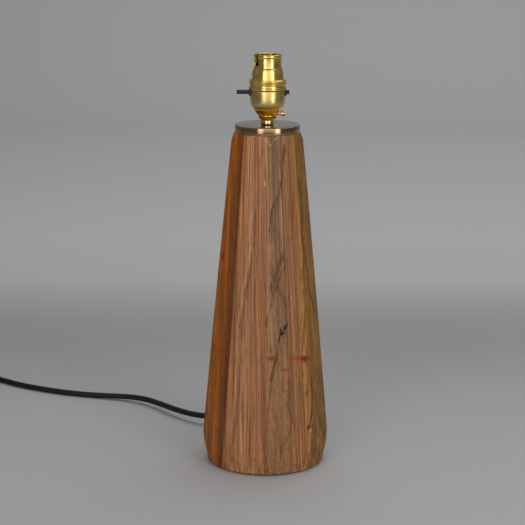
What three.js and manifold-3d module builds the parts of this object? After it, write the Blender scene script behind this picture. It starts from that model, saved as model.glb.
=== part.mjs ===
// Table lamp base: an eight-sided tapered wooden column with a brass plate and a
// switched bayonet lampholder on top, and a black flex that ends in a mains plug.
// Millimetres, +Z up. The origin is the centre of the face that the lamp stands on.

import * as THREE from 'three';
import { mergeVertices } from 'three/addons/utils/BufferGeometryUtils.js';
import Module from 'manifold-3d';

const wasm = await Module();
wasm.setup();

// ---- driving dimensions ----------------------------------------------------

// wooden column
const FELT_T = 1.5;               // felt pad glued under the column
const FELT_R = 54;
const COLUMN_H = 323.2;
const ARRIS_R_BOTTOM = 63.8;      // centre to arris, before the bottom edge is turned
const ARRIS_TAPER = 0.0934;       // arris radius lost per millimetre of height
const COLUMN_TURN = 4.5;          // degrees; the front arris stands a little right of the middle
const FOOT_R = 56.5;              // radius of the turned bottom edge
const SHOULDER_R = 31.3;          // radius of the turned top edge
const BORE_R = 5.3;
const RECESS_R = 18;              // recess in the underside for the nut and the flex
const RECESS_H = 34;

// brass plate, threaded tube and its nuts
const PLATE_R = 31;
const PLATE_T = 6.9;
const TUBE_R = 4.9;
const TUBE_BORE_R = 3.5;
const COLLAR_R = 6.3;
const COLLAR_H = 5.2;

// lampholder, measured up from the bottom of its cap
const CAP_R = 16.7;
const CAP_RIM_R = 16.1;           // threaded rim that the union ring screws onto
const CAP_FLOOR_Z = 8.6;
const CAP_RIM_Z = 33.6;
const BARREL_TOP_Z = 61.1;
const BAR_Z = 25.4;               // axis of the push bar
const BAR_R = 2;
const BAR_X = [-29.3, 20.7];      // the bar's two ends, in the position at rest
const BAR_TRAVEL = 8;
const LOCK_SCREW_Z = 5.2;
const EARTH_X = -8.6;             // earth screw in the floor of the cap

// switch rocker
const PIVOT_Z = 16.4;
const ROCKER_ARM = 7.8;           // pivot to the centre of the arm's tip
const ROCKER_REST = -Math.asin(BAR_TRAVEL / 2 / ROCKER_ARM);

// contact plungers
const PLUNGER_XY = [3.28, -3.78]; // square to the line through the bayonet slots
const PLUNGER_TOP_Z = 48.1;
const SLOT_ANGLE = -139;          // degrees; the second bayonet slot is opposite

// flex, coil and plug
const CORD_R = 3;
const FLEX_HOLE_R = 5;            // hole in the column for the flex and its bush
const EXIT_ANGLE = 112.5 + COLUMN_TURN;   // degrees; the middle of a back facet
const EXIT_Z = 12.5;
const EXIT_R = 58.3;              // centre of the column to the strain relief's flange
const RELIEF_L = 22;
const COIL_CENTRE = [-350, 238];
const COIL_R_IN = 25;             // innermost turn
const COIL_R_OUT = 43;            // outermost turn
const COIL_LAYERS = 2;
const COIL_END_ANGLE = 205;       // degrees; where the tail leaves the coil
const TAIL_L = 45;                // from the coil's last turn to the plug's sleeve
const TAIL_Z = 9;                 // the tail runs level with the upper turns
const PLUG_SLEEVE_L = 20;
const PLUG_L = 50;
const PLUG_W = 49;
const PLUG_H = 18;

// heights that follow from these
const PLATE_Z = FELT_T + COLUMN_H;
const COLLAR_Z = PLATE_Z + PLATE_T;
const HOLDER_Z = COLLAR_Z + COLLAR_H;

// The flex from the strain relief's tip to the start of the coil. It leaves level
// and comes down onto the surface that the lamp stands on.
const CORD_ROUTE = [
  [-36.8, 72.2, 12.4],
  [-41.8, 82.0, 12.0],
  [-48.6, 90.0, 11.2],
  [-57.6, 97.0, 10.2],
  [-68.2, 103.4, 9.3],
  [-80.4, 112.6, 8.5],
  [-95.7, 128.6, 7.7],
  [-113.0, 150.0, 6.9],
  [-129.6, 168.4, 6.0],
  [-147.4, 180.2, 5.0],
  [-164.9, 186.4, 4.0],
  [-183.0, 191.0, 3.4],
  [-204.2, 196.6, 3.1],
  [-227.4, 204.6, 3.1],
  [-251.1, 215.8, 3.1],
  [-275.4, 230.0, 3.1],
  [-302.2, 251.4, 3.1],
];

// ---- materials -------------------------------------------------------------

function material(color, roughness, metalness) {
  return new THREE.MeshStandardMaterial({ color, roughness, metalness });
}

const wood = () => material(0x7d5232, 0.42, 0);
const polishedBrass = () => material(0xc9a23f, 0.18, 1);
const brushedBrass = () => material(0x8d7d5a, 0.38, 1);
const plainBrass = () => material(0xb8963c, 0.35, 1);
const copper = () => material(0xb06a3c, 0.3, 1);
const springSteel = () => material(0xa9abad, 0.3, 1);
const zincSteel = () => material(0x9c9d98, 0.4, 1);
const blackPlastic = () => material(0x101012, 0.4, 0);
const paleMoulding = () => material(0xd8d2c2, 0.5, 0);
const blackFlex = () => material(0x0e0e0f, 0.5, 0);
const felt = () => material(0x2c4a34, 0.95, 0);

// ---- geometry helpers ------------------------------------------------------

const radians = THREE.MathUtils.degToRad;

// One welded, closed body with its faces pointing out.
function weld(geometry) {
  geometry.deleteAttribute('normal');
  geometry.deleteAttribute('uv');
  const merged = mergeVertices(geometry, 1e-4);
  const place = merged.attributes.position.array;
  const index = merged.index.array;
  const kept = [];
  let volume = 0;
  const [a, b, c] = [new THREE.Vector3(), new THREE.Vector3(), new THREE.Vector3()];
  for (let i = 0; i < index.length; i += 3) {
    const [i0, i1, i2] = [index[i], index[i + 1], index[i + 2]];
    if (i0 === i1 || i1 === i2 || i2 === i0) continue;
    kept.push(i0, i1, i2);
    a.fromArray(place, i0 * 3);
    b.fromArray(place, i1 * 3);
    c.fromArray(place, i2 * 3);
    volume += a.dot(b.cross(c));
  }
  if (volume < 0) kept.reverse();
  merged.setIndex(kept);
  return merged;
}

function toSolid(geometry) {
  const welded = weld(geometry);
  return new wasm.Manifold(new wasm.Mesh({
    numProp: 3,
    vertProperties: new Float32Array(welded.attributes.position.array),
    triVerts: new Uint32Array(welded.index.array),
  }));
}

function toGeometry(solid) {
  const mesh = solid.getMesh();
  const geometry = new THREE.BufferGeometry();
  geometry.setAttribute('position', new THREE.BufferAttribute(mesh.vertProperties, 3));
  geometry.setIndex(new THREE.BufferAttribute(mesh.triVerts, 1));
  return geometry;
}

// The first geometry joined with those in joins, then cut by those in cuts.
function shape(first, { joins = [], cuts = [], common = [] }) {
  let solid = toSolid(first);
  for (const other of common) solid = solid.intersect(toSolid(other));
  for (const other of joins) solid = solid.add(toSolid(other));
  for (const other of cuts) solid = solid.subtract(toSolid(other));
  return toGeometry(solid);
}

// A solid of revolution about Z, from [radius, z] points.
function lathe(points, segments = 32) {
  const profile = points.map(([r, z]) => new THREE.Vector2(r, z));
  return new THREE.LatheGeometry(profile, segments).rotateX(Math.PI / 2);
}

// A ring: a closed outline of [radius, z] points that stays off the axis.
function ring(points, segments = 32) {
  return lathe([...points, points[0]], segments);
}

function tubeBetween(rIn, rOut, z0, z1, segments = 24) {
  return ring([[rIn, z0], [rOut, z0], [rOut, z1], [rIn, z1]], segments);
}

function cylinder(radius, z0, z1, segments = 16) {
  return new THREE.CylinderGeometry(radius, radius, z1 - z0, segments)
    .rotateX(Math.PI / 2)
    .translate(0, 0, (z0 + z1) / 2);
}

function cylinderX(radius, x0, x1, z, segments = 16) {
  return new THREE.CylinderGeometry(radius, radius, x1 - x0, segments)
    .rotateZ(Math.PI / 2)
    .translate((x0 + x1) / 2, 0, z);
}

function cylinderY(radius, y0, y1, z, segments = 12) {
  return new THREE.CylinderGeometry(radius, radius, y1 - y0, segments)
    .translate(0, (y0 + y1) / 2, z);
}

function box(x, y, z) {
  return new THREE.BoxGeometry(x[1] - x[0], y[1] - y[0], z[1] - z[0])
    .translate((x[0] + x[1]) / 2, (y[0] + y[1]) / 2, (z[0] + z[1]) / 2);
}

// A piece of a ring between two angles in degrees.
function ringSector(rIn, rOut, from, to, z0, z1) {
  const outline = new THREE.Shape();
  outline.absarc(0, 0, rOut, radians(from), radians(to), false);
  outline.absarc(0, 0, rIn, radians(to), radians(from), true);
  return new THREE.ExtrudeGeometry(outline, { depth: z1 - z0, bevelEnabled: false, curveSegments: 3 })
    .translate(0, 0, z0);
}

function polygonPrism(points, z0, z1) {
  const outline = new THREE.Shape(points.map(([x, y]) => new THREE.Vector2(x, y)));
  return new THREE.ExtrudeGeometry(outline, { depth: z1 - z0, bevelEnabled: false })
    .translate(0, 0, z0);
}

// A round bar along a smooth curve through the points.
function barAlong(points, radius, sides, steps) {
  const section = new THREE.Shape();
  for (let i = 0; i < sides; i += 1) {
    const angle = (2 * Math.PI * i) / sides;
    const [x, y] = [radius * Math.cos(angle), radius * Math.sin(angle)];
    if (i === 0) section.moveTo(x, y);
    else section.lineTo(x, y);
  }
  section.closePath();
  const curve = new THREE.CatmullRomCurve3(points.map((p) => new THREE.Vector3(...p)));
  return new THREE.ExtrudeGeometry(section, { steps, bevelEnabled: false, extrudePath: curve });
}

function part(name, geometry, look) {
  const mesh = new THREE.Mesh(weld(geometry), look);
  mesh.name = name;
  return mesh;
}

// A point at a height, this far from the column's axis along the flex's exit.
function alongExit(distance, z = EXIT_Z) {
  const angle = radians(EXIT_ANGLE);
  return [distance * Math.cos(angle), distance * Math.sin(angle), z];
}

// ---- column, plate and threaded tube ---------------------------------------

function columnGeometry() {
  const top = ARRIS_R_BOTTOM - ARRIS_TAPER * COLUMN_H;
  const eightSided = new THREE.CylinderGeometry(top, ARRIS_R_BOTTOM, COLUMN_H, 8)
    .rotateX(Math.PI / 2)
    .rotateZ(radians(COLUMN_TURN))
    .translate(0, 0, COLUMN_H / 2);
  const clear = ARRIS_R_BOTTOM + 4;
  const turned = lathe([
    [0, 0], [FOOT_R, 0], [58.1, 7.7], [60, 16], [61.3, 28.5], [clear, 31],
    [clear, 285], [35.7, 309], [33.6, 317], [SHOULDER_R, COLUMN_H], [0, COLUMN_H],
  ], 40);
  const holeL = clear - RECESS_R / 2;
  const flexHole = new THREE.CylinderGeometry(FLEX_HOLE_R, FLEX_HOLE_R, holeL, 16)
    .rotateZ(Math.PI / 2)
    .translate(clear - holeL / 2, 0, 0)
    .rotateZ(radians(EXIT_ANGLE))
    .translate(0, 0, EXIT_Z - FELT_T);
  return shape(eightSided, {
    common: [turned],
    cuts: [cylinder(BORE_R, -1, COLUMN_H + 1), cylinder(RECESS_R, -1, RECESS_H, 24), flexHole],
  });
}

function buildStand() {
  const stand = new THREE.Group();
  const column = part('column', columnGeometry(), wood());
  column.position.z = FELT_T;
  stand.add(column);
  stand.add(part('felt_pad', cylinder(FELT_R, 0, FELT_T, 40), felt()));

  const plateEdge = 0.5;
  stand.add(part('top_plate', ring([
    [TUBE_R + 0.3, PLATE_Z], [PLATE_R, PLATE_Z], [PLATE_R, COLLAR_Z - plateEdge],
    [PLATE_R - plateEdge, COLLAR_Z], [TUBE_R + 0.3, COLLAR_Z],
  ], 48), brushedBrass()));
  stand.add(part('collar_nut', ring([
    [TUBE_R + 0.1, COLLAR_Z], [COLLAR_R - 0.5, COLLAR_Z], [COLLAR_R, COLLAR_Z + 1],
    [COLLAR_R, COLLAR_Z + 3.6], [COLLAR_R - 0.7, HOLDER_Z], [TUBE_R + 0.1, HOLDER_Z],
  ], 24), polishedBrass()));

  const recessTop = FELT_T + RECESS_H;
  const washerT = 2;
  const nutT = 5;
  const tubeTop = HOLDER_Z + CAP_FLOOR_Z + 0.2;
  stand.add(part('centre_tube',
    tubeBetween(TUBE_BORE_R, TUBE_R, recessTop - washerT - nutT - 1.5, tubeTop), zincSteel()));
  stand.add(part('bottom_washer',
    tubeBetween(TUBE_R + 0.3, 15, recessTop - washerT, recessTop), zincSteel()));
  const nutR = 9.8;
  const hexagon = new THREE.CylinderGeometry(nutR, nutR, nutT, 6)
    .rotateX(Math.PI / 2)
    .translate(0, 0, recessTop - washerT - nutT / 2);
  stand.add(part('bottom_nut',
    shape(hexagon, { cuts: [cylinder(TUBE_R + 0.15, 0, recessTop, 20)] }), zincSteel()));
  return stand;
}

// ---- lampholder ------------------------------------------------------------

function capGeometry() {
  const wallIn = 15.8;
  const shell = ring([
    [TUBE_R + 0.2, 0], [7.6, 0], [9, 3], [9, 4.3], [9.9, 4.7], [13.2, 9], [13.6, 10.6],
    [14.3, 11], [15.9, 13.5], [16.6, 16.6], [CAP_R, 18.6], [CAP_R, 27.3], [CAP_RIM_R, 27.6],
    [CAP_RIM_R, CAP_RIM_Z], [CAP_RIM_R - 0.8, CAP_RIM_Z], [CAP_RIM_R - 0.8, 27.4],
    [wallIn, 26.8], [wallIn, 17.2], [14.9, 14.2], [11.4, CAP_FLOOR_Z],
    [TUBE_R + 0.2, CAP_FLOOR_Z],
  ], 30);
  const slotR = 4.1;
  const cuts = [cylinderX(1.5, 4, 14, LOCK_SCREW_Z, 12)];
  for (const side of [-1, 1]) {
    const across = [Math.min(side * 14, side * 18), Math.max(side * 14, side * 18)];
    cuts.push(cylinderX(slotR, ...across, BAR_Z));
    cuts.push(box(across, [-slotR, slotR], [BAR_Z, CAP_RIM_Z + 1]));
  }
  cuts.push(cylinder(1.2, CAP_FLOOR_Z - 2.4, CAP_FLOOR_Z + 1, 12).translate(EARTH_X, 0, 0));
  return shape(shell, { cuts });
}

function unionRingGeometry() {
  const threadR = CAP_RIM_R + 0.2;
  return ring([
    [threadR, 27.7], [17.2, 27.7], [17.9, 28.5], [17.9, 29.9], [17.2, 30.7], [17.2, 32.6],
    [17.9, 33.8], [17.25, 34.8], [17.85, 35.9], [17, 37.1], [16.4, 37.8], [15.4, 37.8],
    [15.4, 36.7], [threadR, 36.7],
  ], 30);
}

function barrelGeometry() {
  const shell = ring([
    [14.1, 35.1], [16.1, 35.1], [16.1, 36.4], [15.1, 36.6], [15, 41.7], [14.1, 46.4],
    [13.9, 47.4], [13, 48.6], [12.9, 57.7], [13.6, 58.8], [13.5, 60.3], [12.6, BARREL_TOP_Z],
    [11.5, 60.5], [12, 58.6], [12, 49.4], [13.2, 46.2], [14.1, 41.5],
  ], 30);
  const slotHalf = 6.4;           // degrees, half of the slot's width
  const slotFloor = 50.6;
  const slotW = 2.8;
  const legEnd = 30;              // degrees, from the slot to the end of its level leg
  const cuts = [];
  for (const angle of [SLOT_ANGLE, SLOT_ANGLE + 180]) {
    cuts.push(ringSector(11, 15, angle - slotHalf, angle + slotHalf, slotFloor, BARREL_TOP_Z + 1));
    cuts.push(ringSector(11, 15, angle - legEnd, angle, slotFloor, slotFloor + slotW));
    cuts.push(ringSector(11, 15, angle - legEnd, angle - legEnd + 2 * slotHalf,
      slotFloor, slotFloor + slotW + 1.6));
  }
  return shape(shell, { cuts });
}

// The lower moulding holds the push bar and the rocker and fills the cap's slots.
function insulatorBaseGeometry() {
  const body = lathe([[0, 13], [12.6, 13], [15.1, 17.4], [15.1, 30], [0, 30]], 32);
  const bossX = 17.7;
  const bosses = [cylinderX(3.8, -bossX, bossX, BAR_Z), box([-bossX, bossX], [-3.8, 3.8], [BAR_Z, 27.3])];
  const cuts = [
    cylinderX(BAR_R + 0.2, -20, 20, BAR_Z),
    box([-6.5, 6.5], [-1.7, 1.7], [12, BAR_Z - 1.4]),
    cylinderY(0.85, -6, 6, PIVOT_Z),
  ];
  for (const side of [-1, 1]) {
    const wirePocket = side < 0 ? [-16, -5.2] : [5.2, 16];
    const underRing = side < 0 ? [-bossX - 1, -15.2] : [15.2, bossX + 1];
    cuts.push(box([-3.3, 3.3], wirePocket, [12, 31]));
    cuts.push(box(underRing, [-5, 5], [27.3, 31]));
  }
  return shape(body, { joins: bosses, cuts });
}

function insulatorTopGeometry() {
  const body = lathe([
    [0, 30.1], [15.1, 30.1], [15.1, 33.7], [15.9, 33.7], [15.9, 34.8], [13.7, 34.8],
    [13.7, 41], [11.9, 41.4], [11.5, 44], [0, 44],
  ], 32);
  const cuts = [];
  for (const side of [1, -1]) {
    const x = side > 0 ? [-3.5, 6.4] : [-6.4, 3.5];
    const y = side > 0 ? [-12, -0.8] : [0.8, 12];
    cuts.push(box(x, y, [29, 31.5]));
    const centre = [side * PLUNGER_XY[0], side * PLUNGER_XY[1], 0];
    cuts.push(cylinder(2.9, 30, 42.3).translate(...centre));
    cuts.push(cylinder(2.15, 42, 45).translate(...centre));
  }
  return shape(body, { cuts });
}

function plungerGeometry() {
  return lathe([
    [0, 40.4], [2.7, 40.4], [2.7, 42.1], [1.95, 42.1], [1.95, 47.2], [1.2, PLUNGER_TOP_Z],
    [0, PLUNGER_TOP_Z],
  ], 16);
}

function springGeometry() {
  const [bottom, top] = [31.6, 40];
  const turns = 5;
  const perTurn = 8;
  const points = [];
  for (let i = 0; i <= turns * perTurn; i += 1) {
    const angle = (2 * Math.PI * i) / perTurn;
    const z = bottom + ((top - bottom) * i) / (turns * perTurn);
    points.push([2.2 * Math.cos(angle), 2.2 * Math.sin(angle), z]);
  }
  return barAlong(points, 0.28, 4, turns * perTurn);
}

function terminalGeometry() {
  return shape(box([-3, 3], [-11.5, -5.5], [18.5, 30.6]), {
    joins: [box([-3, 6.1], [-9, -1.1], [30.2, 31.2])],
    cuts: [cylinder(1.3, 18, 24, 12).translate(0, -8.2, 0), cylinderY(1.3, -12, -8.2, 22)],
  });
}

function terminalScrewGeometry() {
  return shape(cylinderY(2, -13.6, -11.6, 22), {
    joins: [cylinderY(1.15, -12, -9.5, 22, 12)],
    cuts: [box([-3, 3], [-14, -12.9], [21.7, 22.3])],
  });
}

function pushBarGeometry() {
  const [left, right] = BAR_X;
  const rod = lathe([
    [0, left], [1.4, left], [1.85, left + 0.35], [BAR_R, left + 0.9], [BAR_R, right - 1.1],
    [1.7, right - 0.4], [1.1, right - 0.08], [0, right],
  ], 16).rotateY(Math.PI / 2);
  const notchX = -BAR_TRAVEL / 2;
  const notch = box([notchX - 1.45, notchX + 1.45], [-3, 3], [-3, 0.25]);
  return shape(rod, { cuts: [notch] });
}

function rockerGeometry() {
  const arm = box([-0.75, 0.75], [-1.3, 1.3], [0, ROCKER_ARM]);
  return shape(cylinderY(2, -1.3, 1.3, 0), {
    joins: [arm, cylinderY(1, -1.3, 1.3, ROCKER_ARM)],
    cuts: [cylinderY(0.89, -3, 3, 0)],
  });
}

function buildHolder() {
  const holder = new THREE.Group();
  holder.position.z = HOLDER_Z;
  holder.add(part('holder_cap', capGeometry(), polishedBrass()));
  holder.add(part('union_ring', unionRingGeometry(), polishedBrass()));
  holder.add(part('barrel', barrelGeometry(), polishedBrass()));
  holder.add(part('insulator_base', insulatorBaseGeometry(), blackPlastic()));
  holder.add(part('insulator_top', insulatorTopGeometry(), blackPlastic()));

  const screwHead = cylinderX(2.4, 12.4, 17.2, LOCK_SCREW_Z);
  holder.add(part('locking_screw', shape(screwHead, {
    joins: [cylinderX(1.35, 5.2, 12.6, LOCK_SCREW_Z, 12)],
    cuts: [box([16.2, 18], [-0.4, 0.4], [LOCK_SCREW_Z - 3, LOCK_SCREW_Z + 3])],
  }), polishedBrass()));

  const sides = [{ plunger: 1, wire: 'live', turn: 0 }, { plunger: 2, wire: 'neutral', turn: Math.PI }];
  for (const { plunger, wire, turn } of sides) {
    const place = (geometry) => geometry.rotateZ(turn);
    const overPlunger = (geometry) => place(geometry.translate(...PLUNGER_XY, 0));
    holder.add(part(`plunger_${plunger}`, overPlunger(plungerGeometry()), plainBrass()));
    holder.add(part(`plunger_spring_${plunger}`, overPlunger(springGeometry()), springSteel()));
    holder.add(part(`terminal_${wire}`, place(terminalGeometry()), plainBrass()));
    holder.add(part(`terminal_screw_${wire}`, place(terminalScrewGeometry()), plainBrass()));
  }

  holder.add(part('earth_tag', shape(cylinder(2.6, CAP_FLOOR_Z + 0.05, CAP_FLOOR_Z + 0.65, 16), {
    joins: [box([0, 3.6], [-1, 1], [CAP_FLOOR_Z + 0.05, CAP_FLOOR_Z + 0.65])],
    cuts: [cylinder(1.2, CAP_FLOOR_Z - 1, CAP_FLOOR_Z + 2, 12)],
  }).translate(EARTH_X, 0, 0), plainBrass()));
  holder.add(part('earth_screw', shape(cylinder(2, CAP_FLOOR_Z + 0.7, CAP_FLOOR_Z + 2.2, 16), {
    joins: [cylinder(1.05, CAP_FLOOR_Z - 2.2, CAP_FLOOR_Z + 1, 12)],
    cuts: [box([-3, 3], [-0.3, 0.3], [CAP_FLOOR_Z + 1.6, CAP_FLOOR_Z + 3])],
  }).translate(EARTH_X, 0, 0), plainBrass()));

  const bar = part('push_bar', pushBarGeometry(), blackPlastic());
  bar.position.z = BAR_Z;
  holder.add(bar);

  const rocker = new THREE.Group();
  rocker.position.z = PIVOT_Z;
  rocker.rotation.y = ROCKER_REST;
  rocker.add(part('rocker', rockerGeometry(), paleMoulding()));
  rocker.add(part('rocker_contact', box([0.9, 1.4], [-1.1, 1.1], [3, 5.6]), copper()));
  holder.add(rocker);
  holder.add(part('rocker_pin', cylinderY(0.8, -5.8, 5.8, PIVOT_Z), zincSteel()));
  holder.add(part('fixed_contact', shape(box([4.4, 4.9], [-1.2, 1.2], [13.4, 21.4]), {
    joins: [box([4.4, 6.4], [-1.2, 1.2], [13.4, 13.9])],
  }), copper()));
  return holder;
}

// ---- wiring inside the lamp ------------------------------------------------

function buildWiring() {
  const wiring = new THREE.Group();
  const [bushIn, bushOut] = [CORD_R + 0.4, FLEX_HOLE_R - 0.3];
  const bushEnd = RECESS_R + 1;
  const holeBush = ring([
    [bushIn, -EXIT_R + 0.3], [bushOut, -EXIT_R + 0.3], [bushOut, -bushEnd], [bushIn, -bushEnd],
  ], 16);
  wiring.add(part('cord_grommet', holeBush
    .rotateX(Math.PI / 2)
    .rotateZ(radians(EXIT_ANGLE - 90))
    .translate(0, 0, EXIT_Z), blackPlastic()));
  const sheathTop = HOLDER_Z + 6.3;
  wiring.add(part('inner_flex', barAlong([
    alongExit(57.6), alongExit(40), alongExit(24), alongExit(13.5, 12.7), alongExit(4.8, 16.6),
    alongExit(0.5, 23), alongExit(0, 31), [0, 0, 120], [0, 0, 220], [0, 0, sheathTop],
  ], CORD_R, 8, 40), blackFlex()));

  const coreR = 0.95;
  const core = (side) => [
    [0, side * 1.7, 6.5], [0, side * 2, 9], [0, side * 4.6, 11], [0, side * 7.4, 12.8],
    [0, side * 8.2, 16], [0, side * 8.2, 23.2],
  ];
  const earth = [[-1.8, 0, 6.5], [-1.9, 0, 8.8], [-3.2, 0, 10.6], [-4.8, 0, 10.7]];
  const cores = { core_live: core(-1), core_neutral: core(1), core_earth: earth };
  const colours = { core_live: 0x6b4423, core_neutral: 0x2b5fae, core_earth: 0x4f8f2c };
  for (const [name, points] of Object.entries(cores)) {
    const mesh = part(name, barAlong(points, coreR, 6, 9), material(colours[name], 0.5, 0));
    mesh.position.z = HOLDER_Z;
    wiring.add(mesh);
  }
  return wiring;
}

// ---- flex outside the lamp, its coil and its plug --------------------------

function coilPoint(degrees, radius, z) {
  const angle = radians(degrees);
  return [
    COIL_CENTRE[0] + radius * Math.cos(angle),
    COIL_CENTRE[1] + radius * Math.sin(angle),
    z,
  ];
}

function reliefGeometry() {
  return lathe([
    [0, 0], [7, 0], [7, 1.8], [5.3, 2.2], [3.75, RELIEF_L], [0, RELIEF_L],
  ], 20)
    .rotateX(-Math.PI / 2)
    .translate(0, EXIT_R, 0)
    .rotateZ(radians(EXIT_ANGLE - 90))
    .translate(0, 0, EXIT_Z);
}

function buildPlug() {
  const plug = new THREE.Group();
  const half = PLUG_W / 2;
  const outline = [
    [0, -10], [9, -half + 5], [16, -half], [PLUG_L - 5, -half], [PLUG_L, -half + 5],
    [PLUG_L, half - 5], [PLUG_L - 5, half], [16, half], [9, half - 5], [0, 10],
  ];
  const inset = ([x, y]) => [2.5 + x * 0.9, y * 0.88];
  const split = 10.5;
  const screwAt = [27, 0, 0];
  const pins = {
    pin_live: { at: [17, 11.1], size: [4, 6.35], length: 17.7 },
    pin_neutral: { at: [17, -11.1], size: [4, 6.35], length: 17.7 },
    pin_earth: { at: [39.2, 0], size: [8, 4], length: 22.7 },
  };
  const pinRoot = 5;
  const pinBox = ({ at, size, length }, grow) => box(
    [at[0] - size[0] / 2 - grow, at[0] + size[0] / 2 + grow],
    [at[1] - size[1] / 2 - grow, at[1] + size[1] / 2 + grow],
    [PLUG_H - pinRoot - grow, PLUG_H + length],
  );

  plug.add(part('plug_cover', shape(polygonPrism(outline, 0, split), {
    cuts: [polygonPrism(outline.map(inset), 2, split + 1)],
  }), blackPlastic()));
  plug.add(part('plug_base', shape(polygonPrism(outline, split + 0.1, PLUG_H), {
    cuts: [
      ...Object.values(pins).map((pin) => pinBox(pin, 0.1)),
      cylinder(1.8, split - 1, PLUG_H + 1, 12).translate(...screwAt),
      cylinder(3.2, PLUG_H - 2, PLUG_H + 1).translate(...screwAt),
    ],
  }), blackPlastic()));
  for (const [name, pin] of Object.entries(pins)) {
    plug.add(part(name, pinBox(pin, 0), plainBrass()));
  }
  plug.add(part('plug_screw', shape(cylinder(3, PLUG_H - 1.9, PLUG_H - 0.2), {
    joins: [cylinder(1.6, 4, PLUG_H - 1.5, 12)],
    cuts: [box([-4, 4], [-0.4, 0.4], [PLUG_H - 0.9, PLUG_H + 1])],
  }).translate(...screwAt), zincSteel()));
  const fuse = { radius: 3, x: [12, 37], y: 14, z: 5.6 };
  plug.add(part('plug_fuse',
    cylinderX(fuse.radius, ...fuse.x, fuse.z).translate(0, fuse.y, 0), paleMoulding()));
  plug.add(part('plug_cord_clamp', box([4.5, 8.5], [-9, 9], [8, 10.2]), paleMoulding()));
  plug.add(part('plug_sleeve', lathe([
    [0, -PLUG_SLEEVE_L], [3.9, -PLUG_SLEEVE_L], [5.4, -3], [6.2, -2.6], [6.2, -0.3], [0, -0.3],
  ], 20).rotateY(Math.PI / 2).translate(0, 0, TAIL_Z), blackPlastic()));
  return plug;
}

function buildCord() {
  const cord = new THREE.Group();
  cord.add(part('strain_relief', reliefGeometry(), blackPlastic()));
  cord.add(part('cord_lead', barAlong(CORD_ROUTE, CORD_R, 8, 30), blackFlex()));

  const [rIn, rOut] = [COIL_R_IN - CORD_R, COIL_R_OUT + CORD_R];
  const coilH = COIL_LAYERS * 2 * CORD_R + 0.9;
  const bevel = 1.5;
  const coilRing = ring([
    [rIn + bevel, 0], [rOut - bevel, 0], [rOut, bevel], [rOut, coilH - bevel],
    [rOut - bevel, coilH], [rIn + bevel, coilH], [rIn, coilH - bevel], [rIn, bevel],
  ], 24);
  const tieT = 0.8;
  const tieW = 8;
  const underTie = box([rIn - 3, rOut + 2], [-tieW / 2 - 0.3, tieW / 2 + 0.3], [-1, tieT + 0.3]);
  const tieOuter = box([rIn - 1.8, rOut + 1.3], [-tieW / 2, tieW / 2], [0, coilH + 1.2]);
  const tieInner = box([rIn - 1, rOut + 0.5], [-tieW, tieW], [tieT, coilH + 0.4]);
  const coil = new THREE.Group();
  coil.position.set(...COIL_CENTRE, 0);
  const tieTurn = radians(118);
  coil.add(part('cord_coil', shape(coilRing, { cuts: [underTie.rotateZ(tieTurn)] }), blackFlex()));
  coil.add(part('coil_tie',
    shape(tieOuter, { cuts: [tieInner] }).rotateZ(tieTurn), blackPlastic()));
  cord.add(coil);

  const heading = radians(COIL_END_ANGLE + 90);
  const leaves = coilPoint(COIL_END_ANGLE, COIL_R_OUT, TAIL_Z);
  const onTail = (distance) => [
    leaves[0] + distance * Math.cos(heading),
    leaves[1] + distance * Math.sin(heading),
    TAIL_Z,
  ];
  const clearOfCoil = 26;
  cord.add(part('cord_tail', barAlong([
    onTail(clearOfCoil), onTail((clearOfCoil + TAIL_L) / 2), onTail(TAIL_L),
  ], CORD_R, 8, 3), blackFlex()));
  const plug = buildPlug();
  plug.position.set(...onTail(TAIL_L + 0.3 + PLUG_SLEEVE_L).slice(0, 2), 0);
  plug.rotation.z = heading;
  cord.add(plug);
  return cord;
}

// ---- the whole lamp --------------------------------------------------------

const lamp = new THREE.Group();
lamp.add(buildStand(), buildHolder(), buildWiring(), buildCord());

export default lamp;
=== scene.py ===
"""A table lamp base: faceted oiled wood, a brass plate, a switched bayonet lampholder and a black flex."""

import math

import bmesh
import bpy
from mathutils import Euler, Matrix, Vector


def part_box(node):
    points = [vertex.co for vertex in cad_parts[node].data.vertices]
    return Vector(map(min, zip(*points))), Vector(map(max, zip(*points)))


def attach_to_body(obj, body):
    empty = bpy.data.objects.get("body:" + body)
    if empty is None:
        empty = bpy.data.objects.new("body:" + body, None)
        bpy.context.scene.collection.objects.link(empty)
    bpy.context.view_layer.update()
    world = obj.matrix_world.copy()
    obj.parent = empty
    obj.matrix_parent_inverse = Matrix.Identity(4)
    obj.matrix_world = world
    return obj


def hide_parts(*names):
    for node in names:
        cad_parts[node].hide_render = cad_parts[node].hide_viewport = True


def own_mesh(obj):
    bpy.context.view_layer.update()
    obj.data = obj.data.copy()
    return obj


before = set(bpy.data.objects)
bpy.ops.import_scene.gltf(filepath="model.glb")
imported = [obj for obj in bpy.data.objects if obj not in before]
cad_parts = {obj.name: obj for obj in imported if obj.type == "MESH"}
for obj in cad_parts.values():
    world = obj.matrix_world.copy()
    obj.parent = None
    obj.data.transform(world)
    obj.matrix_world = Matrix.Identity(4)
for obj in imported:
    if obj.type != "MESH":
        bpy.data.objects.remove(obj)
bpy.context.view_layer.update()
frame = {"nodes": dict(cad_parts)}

MM = 0.001
scene = bpy.context.scene
scene.view_settings.view_transform = "Standard"


# ---- camera ----

CAMERA_PLACE = (-3.81 * MM, -1581.2 * MM, 553.1 * MM)
CAMERA_PITCH = 12.68      # degrees below level
CAMERA_ROLL = 0.376
CAMERA_LENS = 115.2       # on a sensor 36 mm wide


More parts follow.
